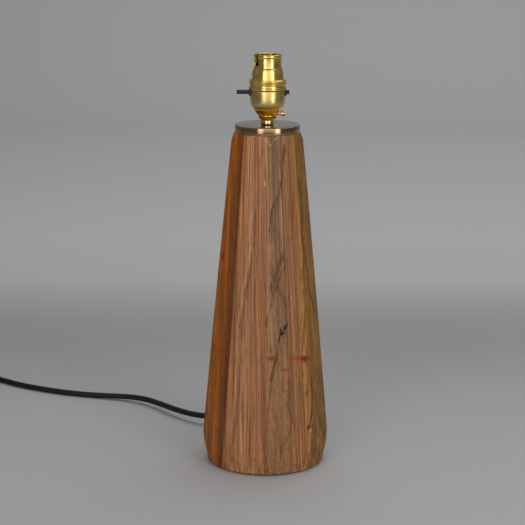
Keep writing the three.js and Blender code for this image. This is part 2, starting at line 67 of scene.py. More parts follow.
def make_camera():
    camera = bpy.data.objects.new("camera", bpy.data.cameras.new("camera"))
    camera.data.lens = CAMERA_LENS
    camera.data.sensor_width = 36
    looking = Euler((math.radians(90 - CAMERA_PITCH), 0, 0)).to_matrix()
    rolled = looking @ Matrix.Rotation(math.radians(CAMERA_ROLL), 3, "Z")
    camera.matrix_world = Matrix.Translation(CAMERA_PLACE) @ rolled.to_4x4()
    scene.collection.objects.link(camera)
    scene.camera = camera


# ---- node trees ----

def srgb(red, green, blue):
    """A colour given as it looks on a screen, from 0 to 255, as Blender's linear one."""
    def linear(value):
        value /= 255
        return value / 12.92 if value <= 0.04045 else ((value + 0.055) / 1.055) ** 2.4
    return (linear(red), linear(green), linear(blue), 1)


class Look:
    """A material and short calls for its nodes. Lengths in a texture's scale are per metre."""

    def __init__(self, name, roughness=0.5, metallic=0.0, **sockets):
        self.material = bpy.data.materials.new(name)
        self.material.use_nodes = True
        self.tree = self.material.node_tree
        self.shader = self.tree.nodes["Principled BSDF"]
        self.shader.inputs["Roughness"].default_value = roughness
        self.shader.inputs["Metallic"].default_value = metallic
        for socket, value in sockets.items():
            self.shader.inputs[socket.replace("_", " ")].default_value = value
        self.place = self.node("ShaderNodeTexCoord").outputs["Object"]

    def put(self, socket, value):
        if isinstance(value, bpy.types.NodeSocket):
            self.tree.links.new(value, socket)
        else:
            socket.default_value = value

    def node(self, kind, values=(), **settings):
        node = self.tree.nodes.new(kind)
        for name, value in settings.items():
            setattr(node, name, value)
        for socket, value in dict(values).items():
            self.put(node.inputs[socket], value)
        return node

    def feed(self, socket, value):
        self.put(self.shader.inputs[socket], value)

    def mapped(self, scale, vector=None, turn=(0, 0, 0), move=(0, 0, 0)):
        values = {"Vector": vector or self.place, "Scale": scale, "Location": move,
                  "Rotation": [math.radians(angle) for angle in turn]}
        return self.node("ShaderNodeMapping", values).outputs["Vector"]

    def noise(self, scale, detail=3, vector=None, rough=0.5, warp=0.0, move=(0, 0, 0)):
        """Noise stretched by a scale per axis, from 0 to 1."""
        values = {"Vector": self.mapped(scale, vector, move=move), "Scale": 1, "Detail": detail,
                  "Roughness": rough, "Distortion": warp}
        return self.node("ShaderNodeTexNoise", values).outputs["Fac"]

    def math(self, operation, first, second=0.0):
        return self.node("ShaderNodeMath", {0: first, 1: second}, operation=operation).outputs[0]

    def times(self, first, second):
        return self.math("MULTIPLY", first, second)

    def plus(self, first, second):
        return self.math("ADD", first, second)

    def minus(self, first, second):
        return self.math("SUBTRACT", first, second)

    def length(self, vector):
        return self.node("ShaderNodeVectorMath", {0: vector}, operation="LENGTH").outputs["Value"]

    def ranged(self, value, low, high, to_low=0.0, to_high=1.0, smooth=True):
        values = {"Value": value, "From Min": low, "From Max": high, "To Min": to_low, "To Max": to_high}
        kind = "SMOOTHSTEP" if smooth else "LINEAR"
        return self.node("ShaderNodeMapRange", values, interpolation_type=kind).outputs["Result"]

    def mix(self, factor, first, second, blend="MIX"):
        node = self.node("ShaderNodeMix", data_type="RGBA", blend_type=blend)
        for index, value in ((0, factor), (6, first), (7, second)):
            self.put(node.inputs[index], value)
        return node.outputs[2]

    def ramp(self, value, stops):
        node = self.node("ShaderNodeValToRGB", {"Fac": value})
        elements = node.color_ramp.elements
        while len(elements) < len(stops):
            elements.new(0.5)
        for element, (place, colour) in zip(elements, stops):
            element.position = place
            element.color = colour
        return node.outputs["Color"]

    def axes(self):
        split = self.node("ShaderNodeSeparateXYZ", {"Vector": self.place})
        return split.outputs["X"], split.outputs["Y"], split.outputs["Z"]

    def bump(self, height, distance, strength=1.0):
        values = {"Height": height, "Distance": distance, "Strength": strength}
        self.feed("Normal", self.node("ShaderNodeBump", values).outputs["Normal"])


# ---- geometry ----
# Shapes are worked out in millimetres and turned into metres when they become objects.

def rounded(points, radius, closed=True, steps=3):
    """A profile whose corners are eased by a short curve."""
    eased = []
    count = len(points)
    for index, point in enumerate(points):
        corner = Vector(point)
        if not closed and index in (0, count - 1):
            eased.append(corner)
            continue
        before = Vector(points[index - 1]) - corner
        after = Vector(points[(index + 1) % count]) - corner
        start = corner + before.normalized() * min(radius, before.length * 0.45)
        end = corner + after.normalized() * min(radius, after.length * 0.45)
        for step in range(steps + 1):
            share = step / steps
            eased.append(start.lerp(corner, share).lerp(corner.lerp(end, share), share))
    return eased


def bridge(bm, rings, closed):
    """Faces between rings of points; closed joins the last ring to the first."""
    pairs = list(zip(rings, rings[1:]))
    if closed:
        pairs.append((rings[-1], rings[0]))
    for lower, upper in pairs:
        count = max(len(lower), len(upper))
        for index in range(count):
            following = (index + 1) % count
            corners = [lower[index % len(lower)], lower[following % len(lower)],
                       upper[following % len(upper)], upper[index % len(upper)]]
            distinct = list(dict.fromkeys(corners))
            if len(distinct) > 2:
                bm.faces.new(distinct)


def revolve(profile, segments=96):
    """A closed body of revolution about Z, from [radius, height] points."""
    bm = bmesh.new()
    rings = []
    for radius, height in profile:
        if radius < 1e-6:
            rings.append([bm.verts.new((0, 0, height))])
            continue
        angles = [2 * math.pi * index / segments for index in range(segments)]
        rings.append([bm.verts.new((radius * math.cos(a), radius * math.sin(a), height)) for a in angles])
    bridge(bm, rings, closed=len(rings[0]) > 1 and len(rings[-1]) > 1)
    return bm


def block(low, high, edge=0.0, steps=2):
    """A box between two corners with eased edges."""
    bm = bmesh.new()
    size = Vector(high) - Vector(low)
    middle = (Vector(high) + Vector(low)) / 2
    bmesh.ops.create_cube(bm, matrix=Matrix.Translation(middle) @ Matrix.Diagonal((*size, 1)))
    if edge:
        bmesh.ops.bevel(bm, geom=bm.edges[:], offset=edge, segments=steps, profile=0.5, affect="EDGES")
    return bm


def slab(outline, low, high, edge=0.0):
    """An upright prism on an outline, with its top and bottom edges eased."""
    bm = bmesh.new()
    bottom = bm.faces.new([bm.verts.new((x, y, low)) for x, y in outline])
    raised = bmesh.ops.extrude_face_region(bm, geom=[bottom])["geom"]
    verts = [item for item in raised if isinstance(item, bmesh.types.BMVert)]
    bmesh.ops.translate(bm, verts=verts, vec=(0, 0, high - low))
    bmesh.ops.recalc_face_normals(bm, faces=bm.faces)
    if edge:
        level = [e for e in bm.edges if abs(e.verts[0].co.z - e.verts[1].co.z) < 1e-6]
        bmesh.ops.bevel(bm, geom=level, offset=edge, segments=3, profile=0.5, affect="EDGES")
    return bm


def tube_along(points, radius, sides=10):
    """A closed round bar that follows the points."""
    bm = bmesh.new()
    line = [Vector(point) for point in points]
    across = None
    rings = []
    for index, point in enumerate(line):
        heading = (line[min(index + 1, len(line) - 1)] - line[max(index - 1, 0)]).normalized()
        if across is None:
            across = heading.orthogonal()
        across = (across - heading * across.dot(heading)).normalized()
        other = heading.cross(across)
        angles = [2 * math.pi * side / sides for side in range(sides)]
        spokes = [across * math.cos(angle) + other * math.sin(angle) for angle in angles]
        rings.append([bm.verts.new(point + spoke * radius) for spoke in spokes])
    bridge(bm, rings, closed=False)
    bm.faces.new(rings[0])
    bm.faces.new(rings[-1])
    return bm


def smooth_line(points, spacing=3.0):
    """Points about this far apart on a smooth curve through the given ones."""
    line = [Vector(point) for point in points]
    ends = [line[0] * 2 - line[1], *line, line[-1] * 2 - line[-2]]
    result = []
    for before, start, end, after in zip(ends, ends[1:], ends[2:], ends[3:]):
        steps = max(1, round((end - start).length / spacing))
        for step in range(steps):
            t = step / steps
            result.append(0.5 * (
                start * 2 + (end - before) * t
                + (before * 2 - start * 5 + end * 4 - after) * t ** 2
                + (start * 3 - before - end * 3 + after) * t ** 3))
    result.append(line[-1])
    return result


def moved(bm, move=(0, 0, 0), turn=0.0, axis="Z"):
    """The mesh turned about an axis through the origin, in degrees, then moved."""
    bmesh.ops.transform(bm, matrix=Matrix.Translation(move) @ Matrix.Rotation(math.radians(turn), 4, axis),
                        verts=bm.verts)
    return bm


def to_object(name, bm, look, sharp=32):
    """Closes the seams of a bmesh in millimetres and makes it an object in metres."""
    bmesh.ops.remove_doubles(bm, verts=bm.verts, dist=1e-5)
    bmesh.ops.recalc_face_normals(bm, faces=bm.faces)
    mesh = bpy.data.meshes.new(name)
    bm.to_mesh(mesh)
    bm.free()
    mesh.transform(Matrix.Scale(MM, 4))
    return mesh_object(name, mesh, look, sharp)


def mesh_object(name, mesh, look, sharp=32):
    """An object that is smooth except where its faces meet at more than sharp degrees."""
    mesh.shade_smooth()
    mesh.set_sharp_from_angle(angle=math.radians(sharp))
    obj = bpy.data.objects.new(name, mesh)
    scene.collection.objects.link(obj)
    mesh.materials.append(look)
    return obj


def carve(obj, cutters, operation="DIFFERENCE", sharp=32):
    """Cuts the bmesh cutters out of an object, or joins them to it."""
    helpers = [to_object("cutter", bm, obj.data.materials[0]) for bm in cutters]
    for helper in helpers:
        modifier = obj.modifiers.new("cut", "BOOLEAN")
        modifier.operation = operation
        modifier.solver = "EXACT"
        modifier.object = helper
    shaped = bpy.data.meshes.new_from_object(obj.evaluated_get(bpy.context.evaluated_depsgraph_get()))
    obj.modifiers.clear()
    obj.data = shaped
    shaped.shade_smooth()
    shaped.set_sharp_from_angle(angle=math.radians(sharp))
    for helper in helpers:
        bpy.data.objects.remove(helper)
    return obj


def attach(obj, slot, *nodes, body="root"):
    """The piece rides on a body and stands for the CAD nodes named, which are hidden. The slot is not used.
    """
    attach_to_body(obj, body)
    if nodes:
        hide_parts(*nodes)
    return obj


# ---- places taken from the frame ----

def in_mm(node):
    low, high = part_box(node)
    return low / MM, high / MM


PLATE_LOW, PLATE_HIGH = in_mm("top_plate")
PLATE_Z = PLATE_LOW.z
COLLAR_Z = PLATE_HIGH.z
HOLDER_Z = in_mm("holder_cap")[0].z       # heights in the lampholder are measured up from here
FELT_T = in_mm("felt_pad")[1].z
COLUMN_TURN = 4.5                         # degrees; the front arris is a little right of the middle
EXIT_ANGLE = 112.5 + COLUMN_TURN          # the way that the flex leaves the column
EXIT_Z = 12.5
EXIT_R = 58.3
CORD_R = 3.0


# ---- flex: its route, coil and tail ----

CORD_ROUTE = [
    (-0.0368, 0.0722, 0.0124),
    (-0.0418, 0.0820, 0.0120),
    (-0.0486, 0.0900, 0.0112),
    (-0.0576, 0.0970, 0.0102),
    (-0.0682, 0.1034, 0.0093),
    (-0.0804, 0.1126, 0.0085),
    (-0.0957, 0.1286, 0.0077),
    (-0.1130, 0.1500, 0.0069),
    (-0.1296, 0.1684, 0.0060),
    (-0.1474, 0.1802, 0.0050),
    (-0.1649, 0.1864, 0.0040),
    (-0.1830, 0.1910, 0.0034),
    (-0.2042, 0.1966, 0.0031),
    (-0.2274, 0.2046, 0.0031),
    (-0.2511, 0.2158, 0.0031),
    (-0.2754, 0.2300, 0.0031),
    (-0.3022, 0.2514, 0.0031),
]
COIL_CENTRE = (-350.0, 238.0)
COIL_R_IN = 25.0
COIL_R_OUT = 43.0
COIL_START = 52.0                         # degrees; where the flex meets the coil
COIL_INWARD = 3 * 360.0                   # turned on the lower layer
COIL_CLIMB = 180.0                        # turned while rising to the upper layer
COIL_OUTWARD = 1053.0                     # turned on the upper layer
COIL_LOW_Z = 3.1
COIL_HIGH_Z = 9.1
TAIL_L = 45.0
TIE_ANGLE = 118.0


def exit_direction():
    angle = math.radians(EXIT_ANGLE)
    return Vector((math.cos(angle), math.sin(angle), 0))


def eased(share):
    return share * share * (3 - 2 * share)


def coil_points():
    """The coil's turns: inward on the surface, up, and outward on top of them."""
    per_turn = 20
    total = COIL_INWARD + COIL_CLIMB + COIL_OUTWARD
    count = round(total / 360 * per_turn)
    points = []
    for index in range(count + 1):
        turned = total * index / count
        angle = math.radians(COIL_START + turned)
        if turned < COIL_INWARD:
            radius = COIL_R_OUT + (COIL_R_IN - COIL_R_OUT) * turned / COIL_INWARD
            z = COIL_LOW_Z
        else:
            climbed = min(1, (turned - COIL_INWARD) / COIL_CLIMB)
            outward = max(0, turned - COIL_INWARD - COIL_CLIMB) / COIL_OUTWARD
            radius = COIL_R_IN + (COIL_R_OUT - COIL_R_IN) * outward
            z = COIL_LOW_Z + (COIL_HIGH_Z - COIL_LOW_Z) * eased(climbed)
        points.append((COIL_CENTRE[0] + radius * math.cos(angle),
                       COIL_CENTRE[1] + radius * math.sin(angle), z))
    return points


def tail_frame():
    """Where the tail leaves the coil, and its heading in degrees."""
    last = math.radians(COIL_START + COIL_INWARD + COIL_CLIMB + COIL_OUTWARD)
    start = Vector((COIL_CENTRE[0] + COIL_R_OUT * math.cos(last),
                    COIL_CENTRE[1] + COIL_R_OUT * math.sin(last), 9.0))
    return start, (math.degrees(last) + 90) % 360


def cord_line():
    """The flex's centreline in millimetres, from the column's wall to the plug."""
    outward = exit_direction()
    in_relief = [outward * distance + Vector((0, 0, EXIT_Z))
                 for distance in (EXIT_R + 0.6, EXIT_R + 7, EXIT_R + 14)]
    route = [Vector(point) / MM for point in CORD_ROUTE]
    start, heading = tail_frame()
    ahead = Vector((math.cos(math.radians(heading)), math.sin(math.radians(heading)), 0))
    tail = [start + ahead * distance for distance in (15, 30, TAIL_L)]
    return in_relief + route + [Vector(point) for point in coil_points()] + tail


def make_cord(look):
    data = bpy.data.curves.new("lamp_flex", "CURVE")
    data.dimensions = "3D"
    data.bevel_depth = CORD_R * MM
    data.bevel_resolution = 4
    data.resolution_u = 1
    data.use_fill_caps = True
    line = smooth_line(cord_line())
    spline = data.splines.new("POLY")
    spline.points.add(len(line) - 1)
    for point, place in zip(spline.points, line):
        point.co = (*(place * MM), 1)
    data.materials.append(look)
    flex = bpy.data.objects.new("lamp_flex", data)
    scene.collection.objects.link(flex)
    return attach(flex, "black_flex", "cord_lead", "cord_coil", "cord_tail")


# ---- column ----

ARRIS_R_BOTTOM = 63.8
ARRIS_TAPER = 0.0934
FULLNESS = 0.6            # how far the faces stand out at mid height
COLUMN_H = PLATE_Z - FELT_T
FOOT = [(56.5, 0.0), (58.1, 7.7), (60.0, 16.0), (61.3, 28.5), (61.5, 32.0)]
SHOULDER = [(35.8, 308.6), (33.6, 317.0), (31.3, COLUMN_H)]
SHOULDER_START = 306.0
BORE_R = 5.3
RECESS_R = 18.0
RECESS_H = 34.0
FLEX_HOLE_R = 5


def radius_on(profile, height):
    """The radius of a turned profile at a height, on straight lines between its points."""
    for (r0, z0), (r1, z1) in zip(profile, profile[1:]):
        if height <= z1:
            return r0 + (r1 - r0) * max(0.0, height - z0) / (z1 - z0)
    return profile[-1][0]


def facet_radius(angle, height):
    """The eight-sided taper, faintly fuller at mid height, with its arrises eased."""
    share = height / COLUMN_H
    fuller = 4 * FULLNESS * share * (1 - share)
    flat = (ARRIS_R_BOTTOM - ARRIS_TAPER * height + fuller) * math.cos(math.radians(22.5))
    offset = (angle - COLUMN_TURN) % 45
    nearer = flat / math.cos(math.radians(offset - 22.5))
    other = flat / math.cos(math.radians(offset + (22.5 if offset < 22.5 else -67.5)))
    easing = 1.1
    return nearer - max(easing - abs(nearer - other), 0) ** 2 / (4 * easing)


def crossing(angle, profile, low, high):
    """The height between low and high where the turned profile meets the facets."""
    def gap(height):
        return radius_on(profile, height) - facet_radius(angle, height)
    if gap(low) * gap(high) > 0:
        return high if abs(gap(high)) < abs(gap(low)) else low
    rising = gap(high) > gap(low)
    for _ in range(30):
        middle = (low + high) / 2
        if (gap(middle) > 0) == rising:
            high = middle
        else:
            low = middle
    return (low + high) / 2


def column_angles():
    """Directions round the column, closer together at each arris."""
    near_arris = [-1.7, -1.1, -0.7, -0.35, 0, 0.35, 0.7, 1.1, 1.7]
    across = [3.5 + 38 * step / 11 for step in range(12)]
    return [COLUMN_TURN + 45 * side + offset for side in range(8) for offset in near_arris + across]


def column_mesh():
    """Rings up the outside, in over the top, and back down the bore and the recess."""
    angles = column_angles()
    lows = [crossing(angle, FOOT, 2.0, 30.0) for angle in angles]
    highs = [crossing(angle, SHOULDER, SHOULDER_START, COLUMN_H) for angle in angles]
    bm = bmesh.new()
    # This layer marks the line where the facets meet the shoulder, along which the wood's material paints a
    # pale highlight.
    glint_and_wear = bm.verts.layers.float.new("glint_and_wear")
    rings = []

    def add_ring(radius_of, height_of, painted_glint=0.0):
        ring = []
        for index, angle in enumerate(angles):
            height = height_of(index)
            radius = radius_of(angle, height)
            turn = math.radians(angle)
            vert = bm.verts.new((radius * math.cos(turn), radius * math.sin(turn), height))
            vert[glint_and_wear] = painted_glint
            ring.append(vert)
        rings.append(ring)

    def shoulder_radius(angle, height):
        return min(radius_on(SHOULDER, height), facet_radius(angle, height))

    foot_r, edge = FOOT[0][0], 0.5
    add_ring(lambda angle, z: foot_r - edge, lambda index: 0)
    add_ring(lambda angle, z: foot_r - 0.12, lambda index: edge * 0.35)
    for step in range(8):
        share = step / 8
        add_ring(lambda angle, z: radius_on(FOOT, z), lambda index: edge + (lows[index] - edge) * share)
    line_half = 0.75        # half the width of the line of painted highlight where the facets meet the shoulder
    for step in range(61):
        share = step / 60
        add_ring(facet_radius, lambda index: lows[index] + (highs[index] - line_half - lows[index]) * share)
    # The ring that carries the painted highlight.
    add_ring(facet_radius, lambda index: highs[index], painted_glint=1.0)
    top = COLUMN_H - 0.3
    add_ring(shoulder_radius, lambda index: min(highs[index] + line_half, top))
    for step in range(1, 7):
        share = step / 6
        add_ring(shoulder_radius,
                 lambda index: min(highs[index] + line_half, top) * (1 - share) + top * share)
    for radius, height in ((30.7, COLUMN_H), (BORE_R, COLUMN_H), (BORE_R, RECESS_H),
                           (RECESS_R, RECESS_H), (RECESS_R, 0)):
        add_ring(lambda angle, z: radius, lambda index: height)
    bridge(bm, rings, closed=True)
    return moved(bm, (0, 0, FELT_T))


def make_column(look):
    column = to_object("wooden_column", column_mesh(), look, sharp=24)
    hole = moved(rod(FLEX_HOLE_R, 14, 74), (0, 0, EXIT_Z))
    moved(hole, turn=EXIT_ANGLE)
    carve(column, [hole], sharp=24)
    return attach(column, "oiled_wood", "column")


def make_felt(look):
    low, high = in_mm("felt_pad")
    radius = (high.x - low.x) / 2
    profile = rounded([(radius, 0.0), (radius, FELT_T - 0.05), (0.0, FELT_T - 0.05)], 0.4, closed=False)
    felt = to_object("felt_base", revolve([(0, 0), (radius - 1, 0), *profile], 120), look)
    attach(felt, "green_felt", "felt_pad")
    return felt


# ---- plate, collar and the lampholder's brass ----

CAP = [
    (7.6, 0), (8.3, 1.2), (9, 3.2), (9, 4.3), (9.9, 4.7), (11.5, 6.5), (13.2, 9), (13.6, 10.6), (14.3, 11),
    (15.3, 12.2), (16.2, 14.6), (16.6, 16.6), (16.7, 18.6), (16.7, 27.3), (16.1, 27.6), (16.1, 33.6),
    (15.3, 33.6), (15.3, 27.4), (15.8, 26.8), (15.8, 17.2), (14.9, 14.2), (13.4, 11.9), (11.4, 8.6),
    (5.1, 8.6), (5.1, 0),
]
UNION_RING = [
    (16.3, 27.7), (17.2, 27.7), (17.8, 28.3), (17.95, 29.2), (17.75, 30.1), (17.2, 30.7), (17.15, 32.6),
    (17.6, 33.2), (17.9, 33.8), (17.6, 34.5), (17.25, 34.8), (17.6, 35.2), (17.85, 35.9), (17.6, 36.6),
    (17, 37.1), (16.4, 37.8), (15.4, 37.8), (15.4, 36.7), (16.3, 36.7),
]
BARREL = [
    (14.1, 35.1), (16.1, 35.1), (16.1, 36.4), (15.1, 36.6), (15, 41.7), (14.6, 44.2), (14.1, 46.4),
    (13.9, 47.4), (13.2, 48.3), (12.95, 49.7), (12.9, 57.6), (13.35, 58.2), (13.6, 59), (13.55, 60.1),
    (13.1, 60.8), (12.5, 61.1), (11.9, 60.9), (11.5, 60.2), (11.6, 59.3), (12, 58.6), (12, 49.4),
    (13, 47.3), (13.2, 46.2), (14.1, 41.5),
]
BARREL_TOP_Z = 61.1
SLOT_ANGLES = (-139, 41)                  # degrees; the two bayonet slots
SLOT_HALF = 6.4                           # degrees, half of a slot's width
SLOT_FLOOR = 50.6
LEG_SPAN = 30                             # degrees that a slot's level leg turns through
LEG_H = 2.8
CATCH_H = 4.4                             # the recess at the end of the leg, which holds the bulb's pin
BAR_Z = 25.4
BOSS_X = 17.7                             # where the moulding's bosses end
LOCK_SCREW_Z = 5.2
PLUNGER_XY = (3.28, -3.78)                # the second plunger is opposite


def at_holder(bm):
    return moved(bm, (0, 0, HOLDER_Z))


def sector(r_in, r_out, start, end, low, high):
    """A piece of a ring between two angles in degrees."""
    steps = 6
    angles = [math.radians(start + (end - start) * step / steps) for step in range(steps + 1)]
    outer = [(r_out * math.cos(a), r_out * math.sin(a)) for a in angles]
    inner = [(r_in * math.cos(a), r_in * math.sin(a)) for a in reversed(angles)]
    return slab(outer + inner, low, high)


def rod(radius, start, end, axis="X", segments=32, edge=0.0):
    """A round bar along X or Y, between two places on that axis, with eased ends."""
    profile = [(0, start), (radius, start), (radius, end), (0, end)]
    if edge:
        profile = rounded(profile, edge, closed=False)
    bar = revolve(profile, segments)
    return moved(bar, turn=90, axis="Y") if axis == "X" else moved(bar, turn=-90, axis="X")


def make_plate(look):
    radius = PLATE_HIGH.x
    profile = rounded([(5.2, PLATE_Z), (radius, PLATE_Z), (radius, COLLAR_Z), (5.2, COLLAR_Z)], 0.55)
    return attach(to_object("brass_plate", revolve(profile, 160), look), "brushed_brass", "top_plate")


def make_collar(look):
    low, high = in_mm("collar_nut")
    radius = high.x
    profile = rounded([
        (5.0, low.z), (radius - 0.6, low.z), (radius, low.z + 0.9), (radius, low.z + 3.7),
        (radius - 0.7, high.z), (5.0, high.z)], 0.35)
    return attach(to_object("brass_collar", revolve(profile, 64), look), "polished_brass", "collar_nut")


def make_cap(look):
    """A cup and neck, with a U-shaped slot for each boss and holes for the two screws."""
    cap = to_object("lampholder_cap", at_holder(revolve(rounded(CAP, 0.35), 128)), look)
    cuts = []
    slot_r, slot_top = 4.1, 35
    for start, end in ((-18, -14), (14, 18)):
        cuts.append(moved(rod(slot_r, start, end, segments=48), (0, 0, BAR_Z)))
        cuts.append(block((start, -slot_r, BAR_Z), (end, slot_r, slot_top)))
    lock_screw_hole = moved(rod(1.5, 4, 16), (0, 0, LOCK_SCREW_Z))
    earth_screw_hole = moved(revolve([(0, 5), (1.2, 5), (1.2, 10), (0, 10)], 24), (-8.6, 0, 0))
    cuts += [lock_screw_hole, earth_screw_hole]
    carve(cap, [at_holder(cut) for cut in cuts])
    return attach(cap, "polished_brass", "holder_cap")


def make_union_ring(look):
    ring = to_object("union_ring_brass", at_holder(revolve(rounded(UNION_RING, 0.3), 128)), look)
    return attach(ring, "polished_brass", "union_ring")


def make_barrel(look):
    barrel = to_object("bayonet_barrel", at_holder(revolve(rounded(BARREL, 0.3), 128)), look)
    cuts = []
    for angle in SLOT_ANGLES:
        leg_end = angle - LEG_SPAN
        cuts.append(sector(11, 15, angle - SLOT_HALF, angle + SLOT_HALF, SLOT_FLOOR, BARREL_TOP_Z + 0.9))
        cuts.append(sector(10.9, 15.1, leg_end, angle, SLOT_FLOOR, SLOT_FLOOR + LEG_H))
        cuts.append(sector(10.8, 15.2, leg_end, leg_end + 2 * SLOT_HALF, SLOT_FLOOR, SLOT_FLOOR + CATCH_H))
    carve(barrel, [at_holder(cut) for cut in cuts])
    return attach(barrel, "polished_brass", "barrel")


def make_lock_screw(look):
    head_r, shank_r, slot_half = 2.7, 1.35, 0.4
    head = moved(rod(head_r, 12.9, 17.2, edge=0.5), (0, 0, LOCK_SCREW_Z))
    screw = to_object("cap_lock_screw", at_holder(head), look)
    carve(screw, [at_holder(moved(rod(shank_r, 5.2, 13.3), (0, 0, LOCK_SCREW_Z)))], "UNION")
    slot = block((16.2, -slot_half, LOCK_SCREW_Z - 3), (18, slot_half, LOCK_SCREW_Z + 3))
    carve(screw, [at_holder(slot)])
    return attach(screw, "polished_brass", "locking_screw")


# ---- lampholder's mouldings and moving parts ----

def make_insulator_base(look):
    """The lower moulding: two bosses, the bar's bore, the rocker's well and two terminal wells."""
    profile = rounded([(0, 13), (12.6, 13), (15.1, 17.4), (15.1, 30), (0, 30)], 0.4, closed=False)
    base = to_object("switch_moulding", at_holder(revolve(profile, 96)), look)
    boss_r, boss_top = 3.8, 27.3
    joins = [moved(rod(boss_r, -BOSS_X, BOSS_X, edge=0.3, segments=48), (0, 0, BAR_Z)),
             block((-BOSS_X + 0.05, -boss_r, BAR_Z), (BOSS_X - 0.05, boss_r, boss_top), edge=0.25)]
    carve(base, [at_holder(join) for join in joins], "UNION")
    bar_bore = moved(rod(2.2, -20, 20), (0, 0, BAR_Z))
    rocker_well = block((-6.5, -1.7, 12), (6.5, 1.7, BAR_Z - 1.4))
    rocker_pin_hole = moved(rod(0.85, -6, 6, axis="Y"), (0, 0, 16.4))
    cuts = [bar_bore, rocker_well, rocker_pin_hole]
    for side in (-1, 1):
        terminal_y = sorted((side * 5.2, side * 16))
        above_boss_x = sorted((side * 15.2, side * 19))
        cuts.append(block((-3.3, terminal_y[0], 12), (3.3, terminal_y[1], 31)))
        cuts.append(block((above_boss_x[0], -5, boss_top), (above_boss_x[1], 5, 31)))
    carve(base, [at_holder(cut) for cut in cuts])
    return attach(base, "black_moulding", "insulator_base")


def make_insulator_top(look):
    """The upper moulding: a stepped bore for each plunger and room for each terminal."""
    profile = rounded([
        (0, 30.1), (15.1, 30.1), (15.1, 33.7), (15.9, 33.7), (15.9, 34.8), (13.7, 34.8), (13.7, 41),
        (11.9, 41.4), (11.5, 44), (0, 44)], 0.3, closed=False)
    top = to_object("contact_moulding", at_holder(revolve(profile, 96)), look)
    cuts = []
    for side in (1, -1):
        x = sorted((side * -3.5, side * 6.4))
        y = sorted((side * -12, side * -0.8))
        cuts.append(block((x[0], y[0], 29), (x[1], y[1], 31.5)))
        centre = (side * PLUNGER_XY[0], side * PLUNGER_XY[1], 0)
        cuts.append(moved(revolve([(0, 30), (2.9, 30), (2.9, 42.3), (0, 42.3)], 32), centre))
        cuts.append(moved(revolve([(0, 42), (2.15, 42), (2.15, 45), (0, 45)], 32), centre))
    carve(top, [at_holder(cut) for cut in cuts])
    return attach(top, "black_moulding", "insulator_top")


def make_plunger(number, look):
    low, high = in_mm(f"plunger_{number}")
    centre = (low + high) / 2
    profile = rounded([(0, low.z), (2.7, low.z), (2.7, low.z + 1.7), (1.95, low.z + 1.7),
                       (1.95, high.z - 0.8), (1.3, high.z), (0, high.z)], 0.25, closed=False)
    turned = moved(revolve(profile, 48), (centre.x, centre.y, 0))
    plunger = to_object(f"contact_plunger_{number}", turned, look)
    return attach(plunger, "plain_brass", f"plunger_{number}", body=f"plunger_{number}")


def make_plunger_spring(number, look):
    """A coil spring under the plunger."""
    low, high = in_mm(f"plunger_spring_{number}")
    centre = (low + high) / 2
    wire_r, turns, steps = 0.28, 5, 100
    coil_r = 2.2
    bottom, top = low.z + wire_r, high.z - wire_r
    points = []
    for step in range(steps + 1):
        angle = 2 * math.pi * turns * step / steps
        points.append((centre.x + math.cos(angle) * coil_r, centre.y + math.sin(angle) * coil_r,
                       bottom + (top - bottom) * step / steps))
    spring = to_object(f"contact_spring_{number}", tube_along(points, wire_r), look)
    attach(spring, "spring_steel", f"plunger_spring_{number}")
    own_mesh(spring)
    return spring


def make_push_bar(look):
    """A bar with rounded ends and a notch for the rocker's arm in its underside."""
    low, high = in_mm("push_bar")
    ends = [(0, low.x), (1.3, low.x), (1.85, low.x + 0.35), (2, low.x + 0.95), (2, high.x - 1.1),
            (1.7, high.x - 0.4), (1.1, high.x - 0.08), (0, high.x)]
    rod_mesh = moved(revolve(rounded(ends, 0.3, closed=False), 40), turn=90, axis="Y")
    middle_z = (low.z + high.z) / 2
    bar = to_object("switch_push_bar", moved(rod_mesh, (0, 0, middle_z)), look)
    notch_x, notch_half = (low.x + high.x) / 2 + 0.3, 1.45
    carve(bar, [block((notch_x - notch_half, -3, middle_z - 3), (notch_x + notch_half, 3, middle_z + 0.25))])
    return attach(bar, "black_plastic", "push_bar", body="push_bar")


# ---- pieces on the flex ----

def make_strain_relief(look):
    """A tapered sleeve with a flange and rings cut round it so that it can bend."""
    flange_end, length = 2.2, 22
    root_r, tip_r = 5.3, 3.75
    profile = [(0, 0), (7, 0), (7, 1.8), (root_r, flange_end)]
    for groove in range(5):
        start = 4.2 + groove * 3.2
        radius = root_r - (root_r - tip_r) * (start - flange_end) / (length - flange_end)
        profile += [(radius, start), (radius - 0.9, start + 0.3), (radius - 0.95, start + 1.1),
                    (radius - 0.1, start + 1.4)]
    profile += [(tip_r, length), (0, length)]
    relief = moved(revolve(rounded(profile, 0.25, closed=False), 48), turn=-90, axis="X")
    moved(relief, (0, EXIT_R, 0))
    moved(relief, turn=EXIT_ANGLE - 90)
    moved(relief, (0, 0, EXIT_Z))
    return attach(to_object("flex_strain_relief", relief, look), "black_plastic", "strain_relief")


def make_coil_tie(look):
    """A flat band round the coil's section, as a hook-and-loop tie is."""
    width = 8
    thickness = 0.8
    r_in = COIL_R_IN - CORD_R - 1.7
    r_out = COIL_R_OUT + CORD_R + 1.2
    top = in_mm("coil_tie")[1].z - 0.1

    def outline(inset, radius):
        low_r, high_r = r_in + inset, r_out - inset
        return rounded([(low_r, inset), (high_r, inset), (high_r, top - inset), (low_r, top - inset)],
                       radius, steps=6)

    outer = outline(0, 3.0)
    inner = outline(thickness, 2.6)
    bm = bmesh.new()
    rings = []
    for section, side in ((outer, -1), (outer, 1), (inner, 1), (inner, -1)):
        rings.append([bm.verts.new((r, side * width / 2, z)) for r, z in section])
    bridge(bm, rings, closed=True)
    moved(bm, turn=TIE_ANGLE)
    tie = to_object("coil_band", moved(bm, (*COIL_CENTRE, 0)), look)
    return attach(tie, "tie", "coil_tie")


